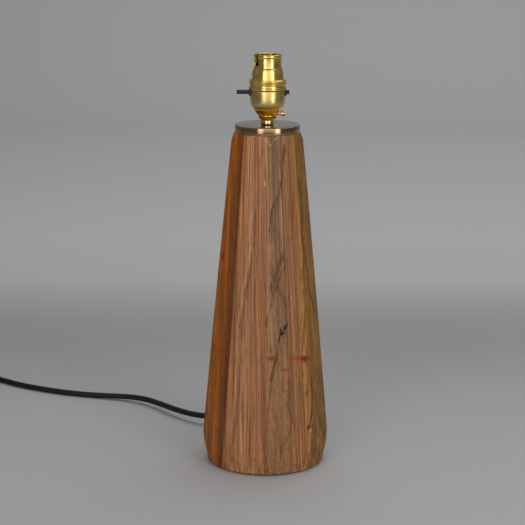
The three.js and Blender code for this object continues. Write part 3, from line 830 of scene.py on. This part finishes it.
PLUG_L = 50.0
PLUG_HALF = 24.5
PLUG_H = 18.0
PLUG_SPLIT = 10.5         # height of the joint between cover and base, with the pins pointing up
SLEEVE_L = 20.0
PLUG_OUTLINE = [
    (0, -10), (9, -PLUG_HALF + 5), (16, -PLUG_HALF), (PLUG_L - 5, -PLUG_HALF), (PLUG_L, -PLUG_HALF + 5),
    (PLUG_L, PLUG_HALF - 5), (PLUG_L - 5, PLUG_HALF), (16, PLUG_HALF), (9, PLUG_HALF - 5), (0, 10),
]
PLUG_PINS = {     # place on the face, size across and length
    "pin_live": ((17, 11.1), (4, 6.35), 17.7),
    "pin_neutral": ((17, -11.1), (4, 6.35), 17.7),
    "pin_earth": ((39.2, 0), (8, 4), 22.7),
}
SCREW_AT = (27, 0, 0)


def at_plug(bm):
    start, heading = tail_frame()
    along = math.radians(heading)
    distance = TAIL_L + 0.3 + SLEEVE_L
    place = start + Vector((math.cos(along), math.sin(along), 0)) * distance
    return moved(bm, (place.x, place.y, 0), turn=heading)


def make_plug(black, brass, steel):
    """A three-pin plug that lies with its pins up. Returns its pieces."""
    outline = rounded(PLUG_OUTLINE, 4, steps=5)
    cover = to_object("plug_top", at_plug(slab(outline, 0, PLUG_SPLIT - 0.05, edge=1.8)), black)
    grips = []
    for row in range(5):
        for side in (-1, 1):
            grips.append(at_plug(moved(rod(0.9, -6, 6, axis="Y"), (22 + row * 4.2, side * 17.5, -0.25))))
    carve(cover, grips)
    inset = rounded([(2.5 + x * 0.9, y * 0.88) for x, y in PLUG_OUTLINE], 3, steps=4)
    carve(cover, [at_plug(slab(inset, 2.4, PLUG_SPLIT + 1))])
    attach(cover, "black_plastic", "plug_cover")

    base = to_object("plug_face", at_plug(slab(outline, PLUG_SPLIT + 0.1, PLUG_H, edge=0.9)), black)
    cuts = [pin_hole(at, size) for at, size, _ in PLUG_PINS.values()]
    screw_hole = revolve([(0, 8), (1.8, 8), (1.8, 16), (3.2, 16), (3.2, 19), (0, 19)], 40)
    cuts.append(moved(screw_hole, SCREW_AT))
    carve(base, [at_plug(cut) for cut in cuts])
    attach(base, "black_plastic", "plug_base")

    pieces = [cover, base]
    for name, (at, size, length) in PLUG_PINS.items():
        low = (at[0] - size[0] / 2, at[1] - size[1] / 2, PLUG_H - 5)
        high = (at[0] + size[0] / 2, at[1] + size[1] / 2, PLUG_H + length)
        pin = to_object(f"plug_{name}", at_plug(block(low, high, edge=0.7, steps=3)), brass)
        pieces.append(attach(pin, "plain_brass", name))

    under_head, top = PLUG_H - 1.9, PLUG_H - 0.2
    head = revolve(rounded([(0, 4), (1.6, 4), (1.6, under_head), (3, under_head), (3, top), (0, top)],
                           0.3, closed=False), 40)
    screw = to_object("plug_cover_screw", at_plug(moved(head, SCREW_AT)), steel)
    carve(screw, [at_plug(moved(block((-4, -0.4, PLUG_H - 0.9), (4, 0.4, PLUG_H + 1)), SCREW_AT))])
    pieces.append(attach(screw, "zinc_steel", "plug_screw"))

    tip_r, root_r, root = 3.9, 5.4, -3
    profile = [(0, -SLEEVE_L), (tip_r, -SLEEVE_L)]
    for ring in range(5):
        start = 2 - SLEEVE_L + ring * 3
        radius = tip_r + (root_r - tip_r) * (start + SLEEVE_L) / (root + SLEEVE_L)
        profile += [(radius, start), (radius - 0.5, start + 0.4), (radius - 0.5, start + 1.1),
                    (radius, start + 1.5)]
    profile += [(root_r, root), (6.2, -2.6), (6.2, -0.3), (0, -0.3)]
    sleeve = moved(revolve(rounded(profile, 0.25, closed=False), 48), turn=90, axis="Y")
    moved(sleeve, (0, 0, PLUG_H / 2))
    boot = to_object("plug_flex_sleeve", at_plug(sleeve), black)
    pieces.append(attach(boot, "black_plastic", "plug_sleeve"))
    return pieces


def pin_hole(at, size):
    """The clearance cut in the plug's face round a pin."""
    gap = 0.1
    half_x = size[0] / 2 + gap
    half_y = size[1] / 2 + gap
    return block((at[0] - half_x, at[1] - half_y, PLUG_H - 5.1), (at[0] + half_x, at[1] + half_y, PLUG_H + 1))


# ---- materials ----

# The wood's colour across the column, from its left side to its right, as seen from the front. It is partly
# the wood's own tone and partly painted sheen: the greyer zones right of the front arris stand for a
# softbox's sheen, and the deep orange of the outer faces for the lack of it.
WOOD_AND_SHEEN_ZONES = [
    (0.0, (184, 104, 14)), (0.06, (196, 110, 12)), (0.13, (172, 94, 12)), (0.165, (128, 70, 14)),
    (0.18, (190, 130, 82)), (0.32, (198, 140, 98)), (0.44, (190, 132, 88)), (0.525, (170, 122, 84)),
    (0.58, (152, 116, 82)), (0.66, (160, 120, 84)), (0.698, (156, 114, 76)), (0.714, (178, 126, 86)),
    (0.78, (172, 120, 76)), (0.865, (168, 116, 66)), (0.89, (160, 107, 22)), (0.94, (162, 108, 15)),
    (1.0, (148, 100, 16)),
]

# Veins on the front of the column: [x, z] places down it, half width, colour and strength.
VEINS = {
    "grey streak": ([(-10.7, 256), (-11.3, 231), (-12.8, 215), (-16.6, 191), (-20.4, 167), (-23.5, 147),
                     (-23.4, 128), (-24.6, 107), (-25.2, 86), (-27.5, 58), (-31.5, 30)],
                    1.2, (102, 74, 64), 0.7),
    "pale streak beside it": ([(-13.9, 256), (-14.6, 231), (-16.0, 215), (-19.8, 191), (-23.6, 167),
                               (-26.9, 147), (-27.3, 120), (-29.2, 80), (-32.5, 40)],
                              1.0, (206, 156, 118), 0.45),
    "thin streak beside it": ([(-6.4, 300), (-7.6, 256), (-8.4, 215), (-11.6, 170), (-13.6, 120),
                               (-16.5, 70), (-19, 20)], 0.6, (112, 72, 54), 0.5),
    "dark tick": ([(-5.9, 306), (-7.0, 298)], 0.7, (96, 56, 32), 0.7),
    "orange streak": ([(27.4, 260), (32.0, 200), (35.5, 150), (38.0, 110), (40, 70)],
                      1.9, (194, 132, 72), 0.2),
    "upper dark line": ([(15.3, 316), (14.7, 297), (14.5, 287), (11.8, 276), (10.3, 270), (7.2, 263),
                         (4.1, 256), (2.9, 236)], 1.3, (78, 54, 40), 0.85),
    "smear below it": ([(15.4, 285), (13.0, 276), (9.6, 262), (6.0, 248), (3.6, 226)],
                       2.6, (108, 80, 58), 0.55),
    "grey shade": ([(9.0, 318), (8.8, 300), (8.6, 285), (7.4, 262)], 2.4, (124, 100, 84), 0.5),
    "red streak": ([(24.8, 273), (24.8, 262), (24.2, 254), (23.9, 234)], 0.8, (116, 54, 28), 0.75),
    "first curl": ([(14.9, 215), (11.6, 202), (7.8, 192), (5.4, 186), (4.6, 176)], 2.4, (88, 66, 48), 0.8),
    "second curl": ([(17.6, 203), (11.6, 190), (7.0, 176), (3.3, 163), (1.0, 155), (0.4, 146)], 1.3,
                    (88, 62, 42), 0.75),
    "crack from the knot": ([(14.6, 141), (10.6, 128), (9.8, 117), (7.1, 105), (4.8, 90), (3.6, 80)],
                            1.3, (66, 38, 18), 0.9),
    "end of the crack": ([(3.6, 82), (2.3, 62), (0.4, 44), (-1.9, 30), (0.6, 12)], 1.0, (92, 60, 38), 0.65),
    "lower line": ([(22.3, 94), (22.0, 87), (21.7, 68), (25.8, 56), (23.5, 46), (20.4, 36), (16.0, 30),
                    (14.1, 16)], 0.9, (84, 56, 34), 0.6),
    "streak in the orange": ([(27.5, 160), (29.5, 130), (31.0, 100), (32.5, 60), (33.5, 20)], 1.2,
                             (126, 78, 40), 0.6),
    "dark side line": ([(30.4, 282), (32.5, 263), (33.6, 243), (32.7, 231), (35.3, 217), (39.0, 193),
                        (40.7, 178), (44.3, 162), (46.6, 150)], 0.9, (76, 48, 20), 0.8),
    "black side line": ([(43.6, 98), (45.2, 73), (44.5, 58), (42.6, 46)], 0.8, (48, 30, 14), 0.85),
    "slanting side line": ([(47.0, 72), (48.7, 63), (53.3, 41), (57.9, 23)], 0.9, (84, 54, 20), 0.75),
}

# Marks on the column: centre, radii, tilt in the XZ plane in degrees, colour and strength.
MARKS = {
    "knot": ((16.4, -43.7, 142.4), (3.8, 5, 6.6), 24, (104, 78, 60), 0.85),
    "right curl of the knot": ((18.2, -42.8, 144.2), (1.2, 4, 5.0), 28, (28, 16, 10), 0.97),
    "left curl of the knot": ((13.6, -44.9, 141.6), (1.1, 4, 5.2), -6, (44, 26, 15), 0.95),
    "foot of the knot": ((15.4, -44.3, 138.8), (2.0, 4, 2.2), 0, (34, 20, 12), 0.95),
    "small stain": ((5.0, -51.0, 116.2), (5.4, 5, 2.7), 4, (132, 54, 12), 0.88),
    "long stain": ((29.2, -39.6, 113.3), (13.2, 9, 2.7), 3, (160, 70, 14), 0.8),
    "end of the long stain": ((36.4, -34.8, 111.6), (6.2, 6, 3.8), 0, (116, 36, 0), 0.95),
    "faint stain": ((17.8, -46.9, 103.8), (6.2, 5, 1.6), 0, (142, 72, 26), 0.75),
    "glow round the red spot": ((-40.6, -10.6, 204.5), (5.0, 10, 14), 4, (212, 100, 8), 0.6),
    "red spot": ((-41.2, -9.6, 205.5), (2.8, 6, 8.0), 6, (152, 38, 0), 0.85),
    "lower red spot": ((-49.4, -8.9, 115.2), (2.4, 5, 6.4), 4, (150, 46, 0), 0.75),
    "pale chip": ((-2.4, -36.7, 280.6), (0.9, 3, 1.8), 0, (236, 190, 150), 0.85),
    "shadow patch": ((33.0, -27.0, 191.0), (2.6, 6, 14.0), -4, (108, 68, 30), 0.65),
    "chip by the arris": ((41.9, -42.3, 45.0), (1.6, 4, 3.8), 12, (52, 32, 18), 0.9),
    "lower chip": ((43.4, -40.6, 41.2), (1.0, 3, 2.2), -8, (206, 160, 116), 0.7),
    "foot spot": ((41.5, -45.4, 14.7), (1.1, 3, 1.8), 0, (60, 36, 20), 0.85),
}


def vein(look, line, half_width, wobble):
    """A mask along a line of [x, z] places on the front of the column, thinning out at its ends."""
    x, y, z = look.axes()
    reach = 70 * MM
    height = (COLUMN_H + FELT_T) * MM
    stops = [(place_z * MM / height, place_x * MM / reach / 2 + 0.5) for place_x, place_z in reversed(line)]
    greys = [(at, (value, value, value, 1)) for at, value in stops]
    across = look.ramp(look.math("DIVIDE", z, height), greys)
    centre = look.times(look.minus(across, 0.5), 2 * reach)
    gap = look.math("ABSOLUTE", look.plus(look.minus(x, centre), wobble))
    mask = look.ranged(gap, half_width * 0.35 * MM, half_width * 1.4 * MM, 1, 0)
    fade = 4 * MM
    top, bottom = line[0][1] * MM, line[-1][1] * MM
    mask = look.times(mask, look.ranged(z, top - fade, top + fade, 1, 0))
    mask = look.times(mask, look.ranged(z, bottom - fade, bottom + fade, 0, 1))
    return look.times(mask, look.math("LESS_THAN", y, 0))


def mark(look, centre, radii, tilt, ragged):
    """A mask that fills an ellipsoid, with a ragged edge."""
    values = {"Vector": look.place, "Location": [value * MM for value in centre],
              "Rotation": (0, math.radians(tilt), 0), "Scale": [value * MM for value in radii]}
    local = look.node("ShaderNodeMapping", values, vector_type="TEXTURE").outputs["Vector"]
    distance = look.plus(look.length(local), ragged)
    return look.ranged(distance, 0.4, 1.2, 1, 0)


def wood_grain(look, half_width):
    """Coordinates that narrow with the column, so that streaks run the length of its faces.

    The grain leans with the tree's growth and wanders a little.
    """
    x, y, z = look.axes()
    typical = 0.05
    lean = look.ramp(look.ranged(x, -30 * MM, 60 * MM, smooth=False), [
        (0.0, (0.5, 0.5, 0.5, 1)), (0.7, (0.42, 0.42, 0.42, 1)), (1.0, (0.0, 0.0, 0.0, 1))])
    slope = look.times(look.minus(lean, 0.42), 0.6)
    wide = look.times(look.math("DIVIDE", x, half_width), typical)
    deep = look.times(look.math("DIVIDE", y, half_width), typical)
    leaning = look.plus(wide, look.times(slope, z))
    wander = look.noise((16, 5, 5), detail=2)
    leaning = look.plus(leaning, look.times(look.minus(wander, 0.5), 0.005))
    return look.node("ShaderNodeCombineXYZ", {"X": leaning, "Y": deep, "Z": z}).outputs["Vector"]


def oiled_wood():
    """Oiled walnut, layer on layer: colour zones with painted sheen, streaks, figure, pores, veins, marks and
    a painted highlight along the shoulder.
    """
    look = Look("oiled_wood", roughness=0.42, Specular_IOR_Level=0.18)
    x, y, z = look.axes()
    half_width = look.minus(ARRIS_R_BOTTOM * MM, look.times(z, ARRIS_TAPER))
    grain = wood_grain(look, half_width)
    broad = look.noise((60, 30, 2), vector=grain, detail=2)
    sway = look.times(look.minus(broad, 0.5), 0.05)
    across = look.plus(look.math("DIVIDE", x, half_width), sway)
    # The colour zones are the wood's tone with painted sheen: greyer on the right front face, deeper on the
    # outer faces.
    colour = look.ramp(look.ranged(across, -1, 1, smooth=False), [(at, srgb(*rgb)) for at, rgb in WOOD_AND_SHEEN_ZONES])
    plain_back = look.ranged(y, -6 * MM, 24 * MM, 0, 0.75)
    colour = look.mix(plain_back, colour, srgb(158, 110, 74))

    def tinted(value, low, high, dark, pale):
        """Multiplies the colour by a shade that follows a noise."""
        return look.mix(1.0, colour, look.ramp(look.ranged(value, low, high, smooth=False), [
            (0.0, (*dark, 1)), (1.0, (*pale, 1))]), blend="MULTIPLY")

    bands = look.noise((300, 110, 2.2), vector=grain, detail=4, rough=0.6)
    streaks = look.noise((760, 260, 5), vector=grain, detail=3, rough=0.6)
    fine = look.noise((1600, 560, 18), vector=grain, detail=3)
    pores = look.noise((2300, 900, 95), vector=grain, detail=2)
    colour = tinted(broad, 0.3, 0.7, (0.9, 0.88, 0.84), (1.06, 1.06, 1.08))
    colour = tinted(bands, 0.34, 0.66, (0.66, 0.63, 0.58), (1.22, 1.24, 1.28))
    colour = tinted(streaks, 0.34, 0.66, (0.68, 0.65, 0.62), (1.22, 1.24, 1.28))
    colour = tinted(fine, 0.36, 0.64, (0.74, 0.72, 0.7), (1.18, 1.18, 1.2))
    rings = look.noise((150, 60, 1.4), vector=grain, detail=2, move=(3, 1, 0))
    ring_gap = 0.125
    from_ring = look.math("ABSOLUTE", look.minus(look.math("PINGPONG", rings, ring_gap), ring_gap / 2))
    colour = look.mix(look.ranged(from_ring, 0.0, 0.016, 0.55, 0), colour, srgb(106, 68, 54))

    # The zone right of the front arris has dark smears, and a curly figure low down.
    right_side = look.ranged(across, 0.02, 0.1)
    inside_orange = look.ranged(across, 0.38, 0.42, 1, 0)
    olive = look.times(right_side, inside_orange)
    smears = look.noise((110, 110, 14), vector=look.mapped((1, 1, 1), turn=(0, 20, 0)), detail=5, rough=0.6)
    smear = look.times(look.ranged(smears, 0.5, 0.66, 0, 0.55), olive)
    colour = look.mix(smear, colour, srgb(84, 62, 44))
    figure = look.noise((230, 230, 130), detail=5, rough=0.7, warp=1.6)
    curly = look.times(olive, look.ranged(z, 0.1, 0.14, 0.5, 0))
    colour = look.mix(curly, colour, look.ramp(figure, [
        (0.36, srgb(132, 88, 54)), (0.5, srgb(162, 112, 70)), (0.64, srgb(182, 132, 88))]))
    colour = look.mix(look.ranged(pores, 0.57, 0.68, 0, 0.6), colour, srgb(66, 38, 22))

    wobble = look.times(look.minus(look.noise((90, 90, 60), detail=3), 0.5), 2.4 * MM)
    broken = look.ranged(look.noise((420, 420, 60), detail=4, move=(5, 2, 1)), 0.34, 0.56, 0.3, 1)
    for line, half, rgb, strength in VEINS.values():
        mask = look.times(vein(look, line, half, wobble), broken)
        colour = look.mix(look.times(mask, strength), colour, srgb(*rgb))
    ragged = look.times(look.minus(look.noise((560, 560, 300), detail=5), 0.5), 1.3)
    for centre, radii, tilt, rgb, strength in MARKS.values():
        mask = mark(look, centre, radii, tilt, ragged)
        colour = look.mix(look.times(mask, strength), colour, srgb(*rgb))
    # Painted highlight: a pale line where the facets meet the shoulder, in patches and fainter away from the
    # front.
    painted_glint = look.node("ShaderNodeAttribute", attribute_name="glint_and_wear").outputs["Fac"]
    patchy = look.ranged(look.noise((200, 200, 200), detail=3, move=(2, 7, 4)), 0.36, 0.56, 0.25, 1.0)
    glint_fade = look.times(patchy, look.ranged(look.math("ABSOLUTE", x), 9 * MM, 22 * MM, 1, 0.35))
    colour = look.mix(look.times(look.ranged(painted_glint, 0.3, 1), glint_fade), colour, srgb(236, 204, 180))

    look.feed("Base Color", colour)
    look.feed("Roughness", look.ranged(streaks, 0.3, 0.7, 0.36, 0.5))
    relief = look.minus(streaks, look.times(pores, 0.8))
    look.bump(relief, distance=0.22 * MM, strength=0.35)
    return look.material


def green_felt():
    look = Look("green_felt", roughness=0.95, Sheen_Weight=0.4)
    fuzz = look.noise((1800, 1800, 1800), detail=4)
    look.feed("Base Color", look.ramp(fuzz, [(0.3, srgb(14, 30, 20)), (0.7, srgb(34, 58, 40))]))
    look.bump(fuzz, 0.0006, 0.6)
    return look.material


def polished_brass(name, roughness, low=(222, 184, 94), high=(244, 212, 124), coat=0.0, neck=None):
    """Bright brass with a faint tarnish. Below the height neck, in metres, it is a deeper gold, a painted
    reflection of the brass and wood beneath.
    """
    look = Look(name, roughness=roughness, metallic=1.0, Coat_Weight=coat, Coat_Roughness=roughness * 0.8)
    tarnish = look.noise((260, 260, 260), detail=4)
    smear = look.noise((160, 160, 120), detail=3)
    colour = look.ramp(tarnish, [(0.3, srgb(*low)), (0.65, srgb(*high))])
    if neck:
        # Painted reflection: the lower part is made a deeper gold, as the brass and wood below would show in
        # it.
        below = look.ranged(look.axes()[2], neck - 2 * MM, neck + 2 * MM, 1, 0)
        colour = look.mix(below, colour, srgb(246, 194, 44))
    look.feed("Base Color", colour)
    look.feed("Roughness", look.ranged(smear, 0.35, 0.7, roughness * 0.85, roughness * 1.2))
    look.bump(smear, 0.00004, 0.2)
    return look.material


def brushed_brass():
    look = Look("brushed_brass", roughness=0.14, metallic=1.0, Coat_Weight=0.2, Coat_Roughness=0.1)
    x, y, z = look.axes()
    radius = look.length(look.node("ShaderNodeCombineXYZ", {"X": x, "Y": y}).outputs["Vector"])
    ring_place = look.node("ShaderNodeCombineXYZ", {"X": radius, "Z": z}).outputs["Vector"]
    rings = look.noise((9000, 9000, 9000), vector=ring_place, detail=3)
    stain = look.noise((70, 70, 300), detail=4)
    look.feed("Base Color", look.ramp(stain, [
        (0.3, srgb(131, 105, 74)), (0.5, srgb(158, 133, 99)), (0.7, srgb(174, 149, 114))]))
    look.feed("Roughness", look.ranged(rings, 0.3, 0.7, 0.1, 0.17))
    look.bump(rings, 0.00002, 0.3)
    return look.material


def plain_metal(name, low, high, roughness=0.32):
    look = Look(name, roughness=roughness, metallic=1.0)
    glint_and_wear = look.noise((500, 500, 500), detail=4)
    look.feed("Base Color", look.ramp(glint_and_wear, [(0.3, srgb(*low)), (0.7, srgb(*high))]))
    look.feed("Roughness", look.ranged(glint_and_wear, 0.3, 0.7, roughness * 0.8, roughness * 1.3))
    look.bump(glint_and_wear, 0.00005, 0.3)
    return look.material


def plastic(name, low, high, roughness=0.4, grain=1400, depth=0.00005):
    look = Look(name, roughness=roughness)
    texture = look.noise((grain, grain, grain), detail=3)
    look.feed("Base Color", look.ramp(texture, [(0.3, srgb(*low)), (0.7, srgb(*high))]))
    look.feed("Roughness", look.ranged(texture, 0.3, 0.7, roughness * 0.85, roughness * 1.2))
    look.bump(texture, depth, 0.4)
    return look.material


def backdrop_grey():
    """Grey paper with painted shade and light: a little darker close behind the lamp and paler further back.
    """
    look = Look("backdrop_grey", roughness=0.8, Specular_IOR_Level=0.2)
    depth = 3
    # Painted shade in a band close behind the lamp and painted light further back, set by the distance behind
    # it.
    greys = {0: 198, 0.2: 192, 0.33: 183, 0.42: 177, 0.525: 178, 0.64: 190, 0.76: 205, 1.05: 208,
             1.6: 201, 3: 198}
    stops = [(away / depth, srgb(grey, grey, grey + 1)) for away, grey in greys.items()]
    look.feed("Base Color", look.ramp(look.ranged(look.axes()[1], 0, depth, smooth=False), stops))
    return look.material


# ---- stage and lights ----

def make_stage():
    """A pale floor that curves up into a backdrop, well behind the lamp."""
    bm = bmesh.new()
    curve_y, curve_r, half_width = 2.3, 0.6, 6.0
    profile = [(-6.0, 0.0), (curve_y, 0.0)]
    for step in range(1, 25):
        angle = math.radians(90 * step / 24)
        profile.append((curve_y + curve_r * math.sin(angle), curve_r - curve_r * math.cos(angle)))
    profile.append((curve_y + curve_r, 3.0))
    rows = [[bm.verts.new((x, y, z)) for x in (-half_width, half_width)] for y, z in profile]
    for lower, upper in zip(rows, rows[1:]):
        bm.faces.new((lower[0], lower[1], upper[1], upper[0]))
    mesh = bpy.data.meshes.new("floor_and_backdrop")
    bm.to_mesh(mesh)
    bm.free()
    floor = mesh_object("floor_and_backdrop", mesh, backdrop_grey())


def area_light(name, place, aim, width, height, power, colour):
    """A rectangular light at a place, turned towards another."""
    data = bpy.data.lights.new(name, "AREA")
    data.shape = "RECTANGLE"
    data.size = width
    data.size_y = height
    data.energy = power
    data.color = colour
    light = bpy.data.objects.new(name, data)
    light.visible_camera = False
    heading = (Vector(aim) - Vector(place)).to_track_quat("-Z", "Y")
    light.matrix_world = Matrix.Translation(place) @ heading.to_matrix().to_4x4()
    scene.collection.objects.link(light)


def softbox(name, azimuth, power, colour):
    """A tall light in front of the lamp. Azimuth is in degrees from the camera's side towards +X."""
    distance = 1.35
    angle = math.radians(azimuth)
    place = (math.sin(angle) * distance, -math.cos(angle) * distance, 0.52)
    area_light(name, place, (0, 0, 0.3), 0.4, 1.0, power, colour)


def make_lights():
    """Two softboxes, a broad fill from the front, and light from above on lamp, floor and backdrop."""
    softbox("left_softbox", -24, 3.6, (1.0, 0.94, 0.92))
    softbox("right_softbox", 36, 4.4, (0.98, 1.0, 0.93))
    area_light("front_fill", (0.2, -1.95, 0.65), (0.2, 0, 0.45), 1.7, 1.25, 6.4, (0.98, 0.99, 1.0))
    area_light("overhead", (0.5, 0.6, 2.3), (0.3, 0.6, 0), 2.4, 2.2, 15, (0.985, 0.99, 1.0))
    area_light("backdrop_light", (0.5, 1.5, 2.2), (0.3, 2.8, 0.3), 3.0, 0.8, 12, (0.985, 0.99, 1.0))
    world = bpy.data.worlds.new("studio")
    world.use_nodes = True
    background = world.node_tree.nodes["Background"]
    background.inputs["Color"].default_value = (1, 1, 1, 1)
    background.inputs["Strength"].default_value = 0.175
    scene.world = world


# ---- the lamp ----

def main():
    make_camera()

    black = plastic("black_plastic", (11, 11, 12), (20, 20, 21), roughness=0.38)
    moulding = plastic("black_moulding", (12, 12, 13), (22, 22, 23), roughness=0.45)
    flex = plastic("black_flex", (4, 4, 5), (11, 11, 12), roughness=0.5, grain=900)
    tie = plastic("tie", (16, 16, 17), (34, 34, 35), roughness=0.9, grain=2600, depth=0.0004)
    pale = plastic("pale_moulding", (196, 190, 174), (224, 218, 204), roughness=0.5)
    bright = polished_brass("polished_brass", 0.19)
    # The satin brass's deeper gold below the neck is a painted reflection.
    satin = polished_brass("satin_brass", 0.33, (196, 168, 92), (216, 190, 118), coat=0.9,
                           neck=(HOLDER_Z + 11.4) * MM)
    # A paler copy of the polished brass for the collar and the lock screw; its paleness is a painted
    # highlight.
    painted_highlight_brass = polished_brass("painted_highlight_brass", 0.2, (230, 200, 146), (246, 222, 176), coat=0.5)
    brass = plain_metal("plain_brass", (170, 132, 56), (206, 170, 88))
    steel = plain_metal("zinc_steel", (134, 136, 138), (172, 173, 172))
    spring = plain_metal("spring_steel", (140, 142, 146), (178, 180, 184), roughness=0.25)
    copper = plain_metal("copper_contact", (150, 84, 50), (196, 122, 82))

    make_column(oiled_wood())
    make_felt(green_felt())
    make_plate(brushed_brass())
    make_collar(painted_highlight_brass)
    make_cap(satin)
    make_union_ring(bright)
    make_barrel(bright)
    make_lock_screw(painted_highlight_brass)
    make_insulator_base(moulding)
    make_insulator_top(moulding)
    for number in (1, 2):
        make_plunger(number, brass)
        make_plunger_spring(number, spring)
    make_push_bar(black)

    nodes = frame["nodes"]
    on_cord = [make_strain_relief(black), make_coil_tie(tie), *make_plug(black, brass, steel),
               nodes["plug_fuse"], nodes["plug_cord_clamp"]]
    cord = make_cord(flex)

    repainted = [
        (steel, ("centre_tube", "bottom_washer", "bottom_nut", "rocker_pin")),
        (brass, ("terminal_live", "terminal_neutral", "terminal_screw_live", "terminal_screw_neutral",
                 "earth_tag", "earth_screw")),
        (copper, ("rocker_contact", "fixed_contact")),
        (pale, ("rocker", "plug_fuse", "plug_cord_clamp")),
        (black, ("cord_grommet",)),
        (flex, ("inner_flex",)),
        (plastic("brown_core", (84, 52, 30), (112, 72, 44)), ("core_live",)),
        (plastic("blue_core", (32, 76, 150), (52, 102, 184)), ("core_neutral",)),
        (plastic("green_core", (64, 120, 40), (172, 176, 44), grain=300), ("core_earth",)),
    ]
    for look, names in repainted:
        for name in names:
            nodes[name].data.materials.clear()
            nodes[name].data.materials.append(look)

    make_stage()
    make_lights()


main()
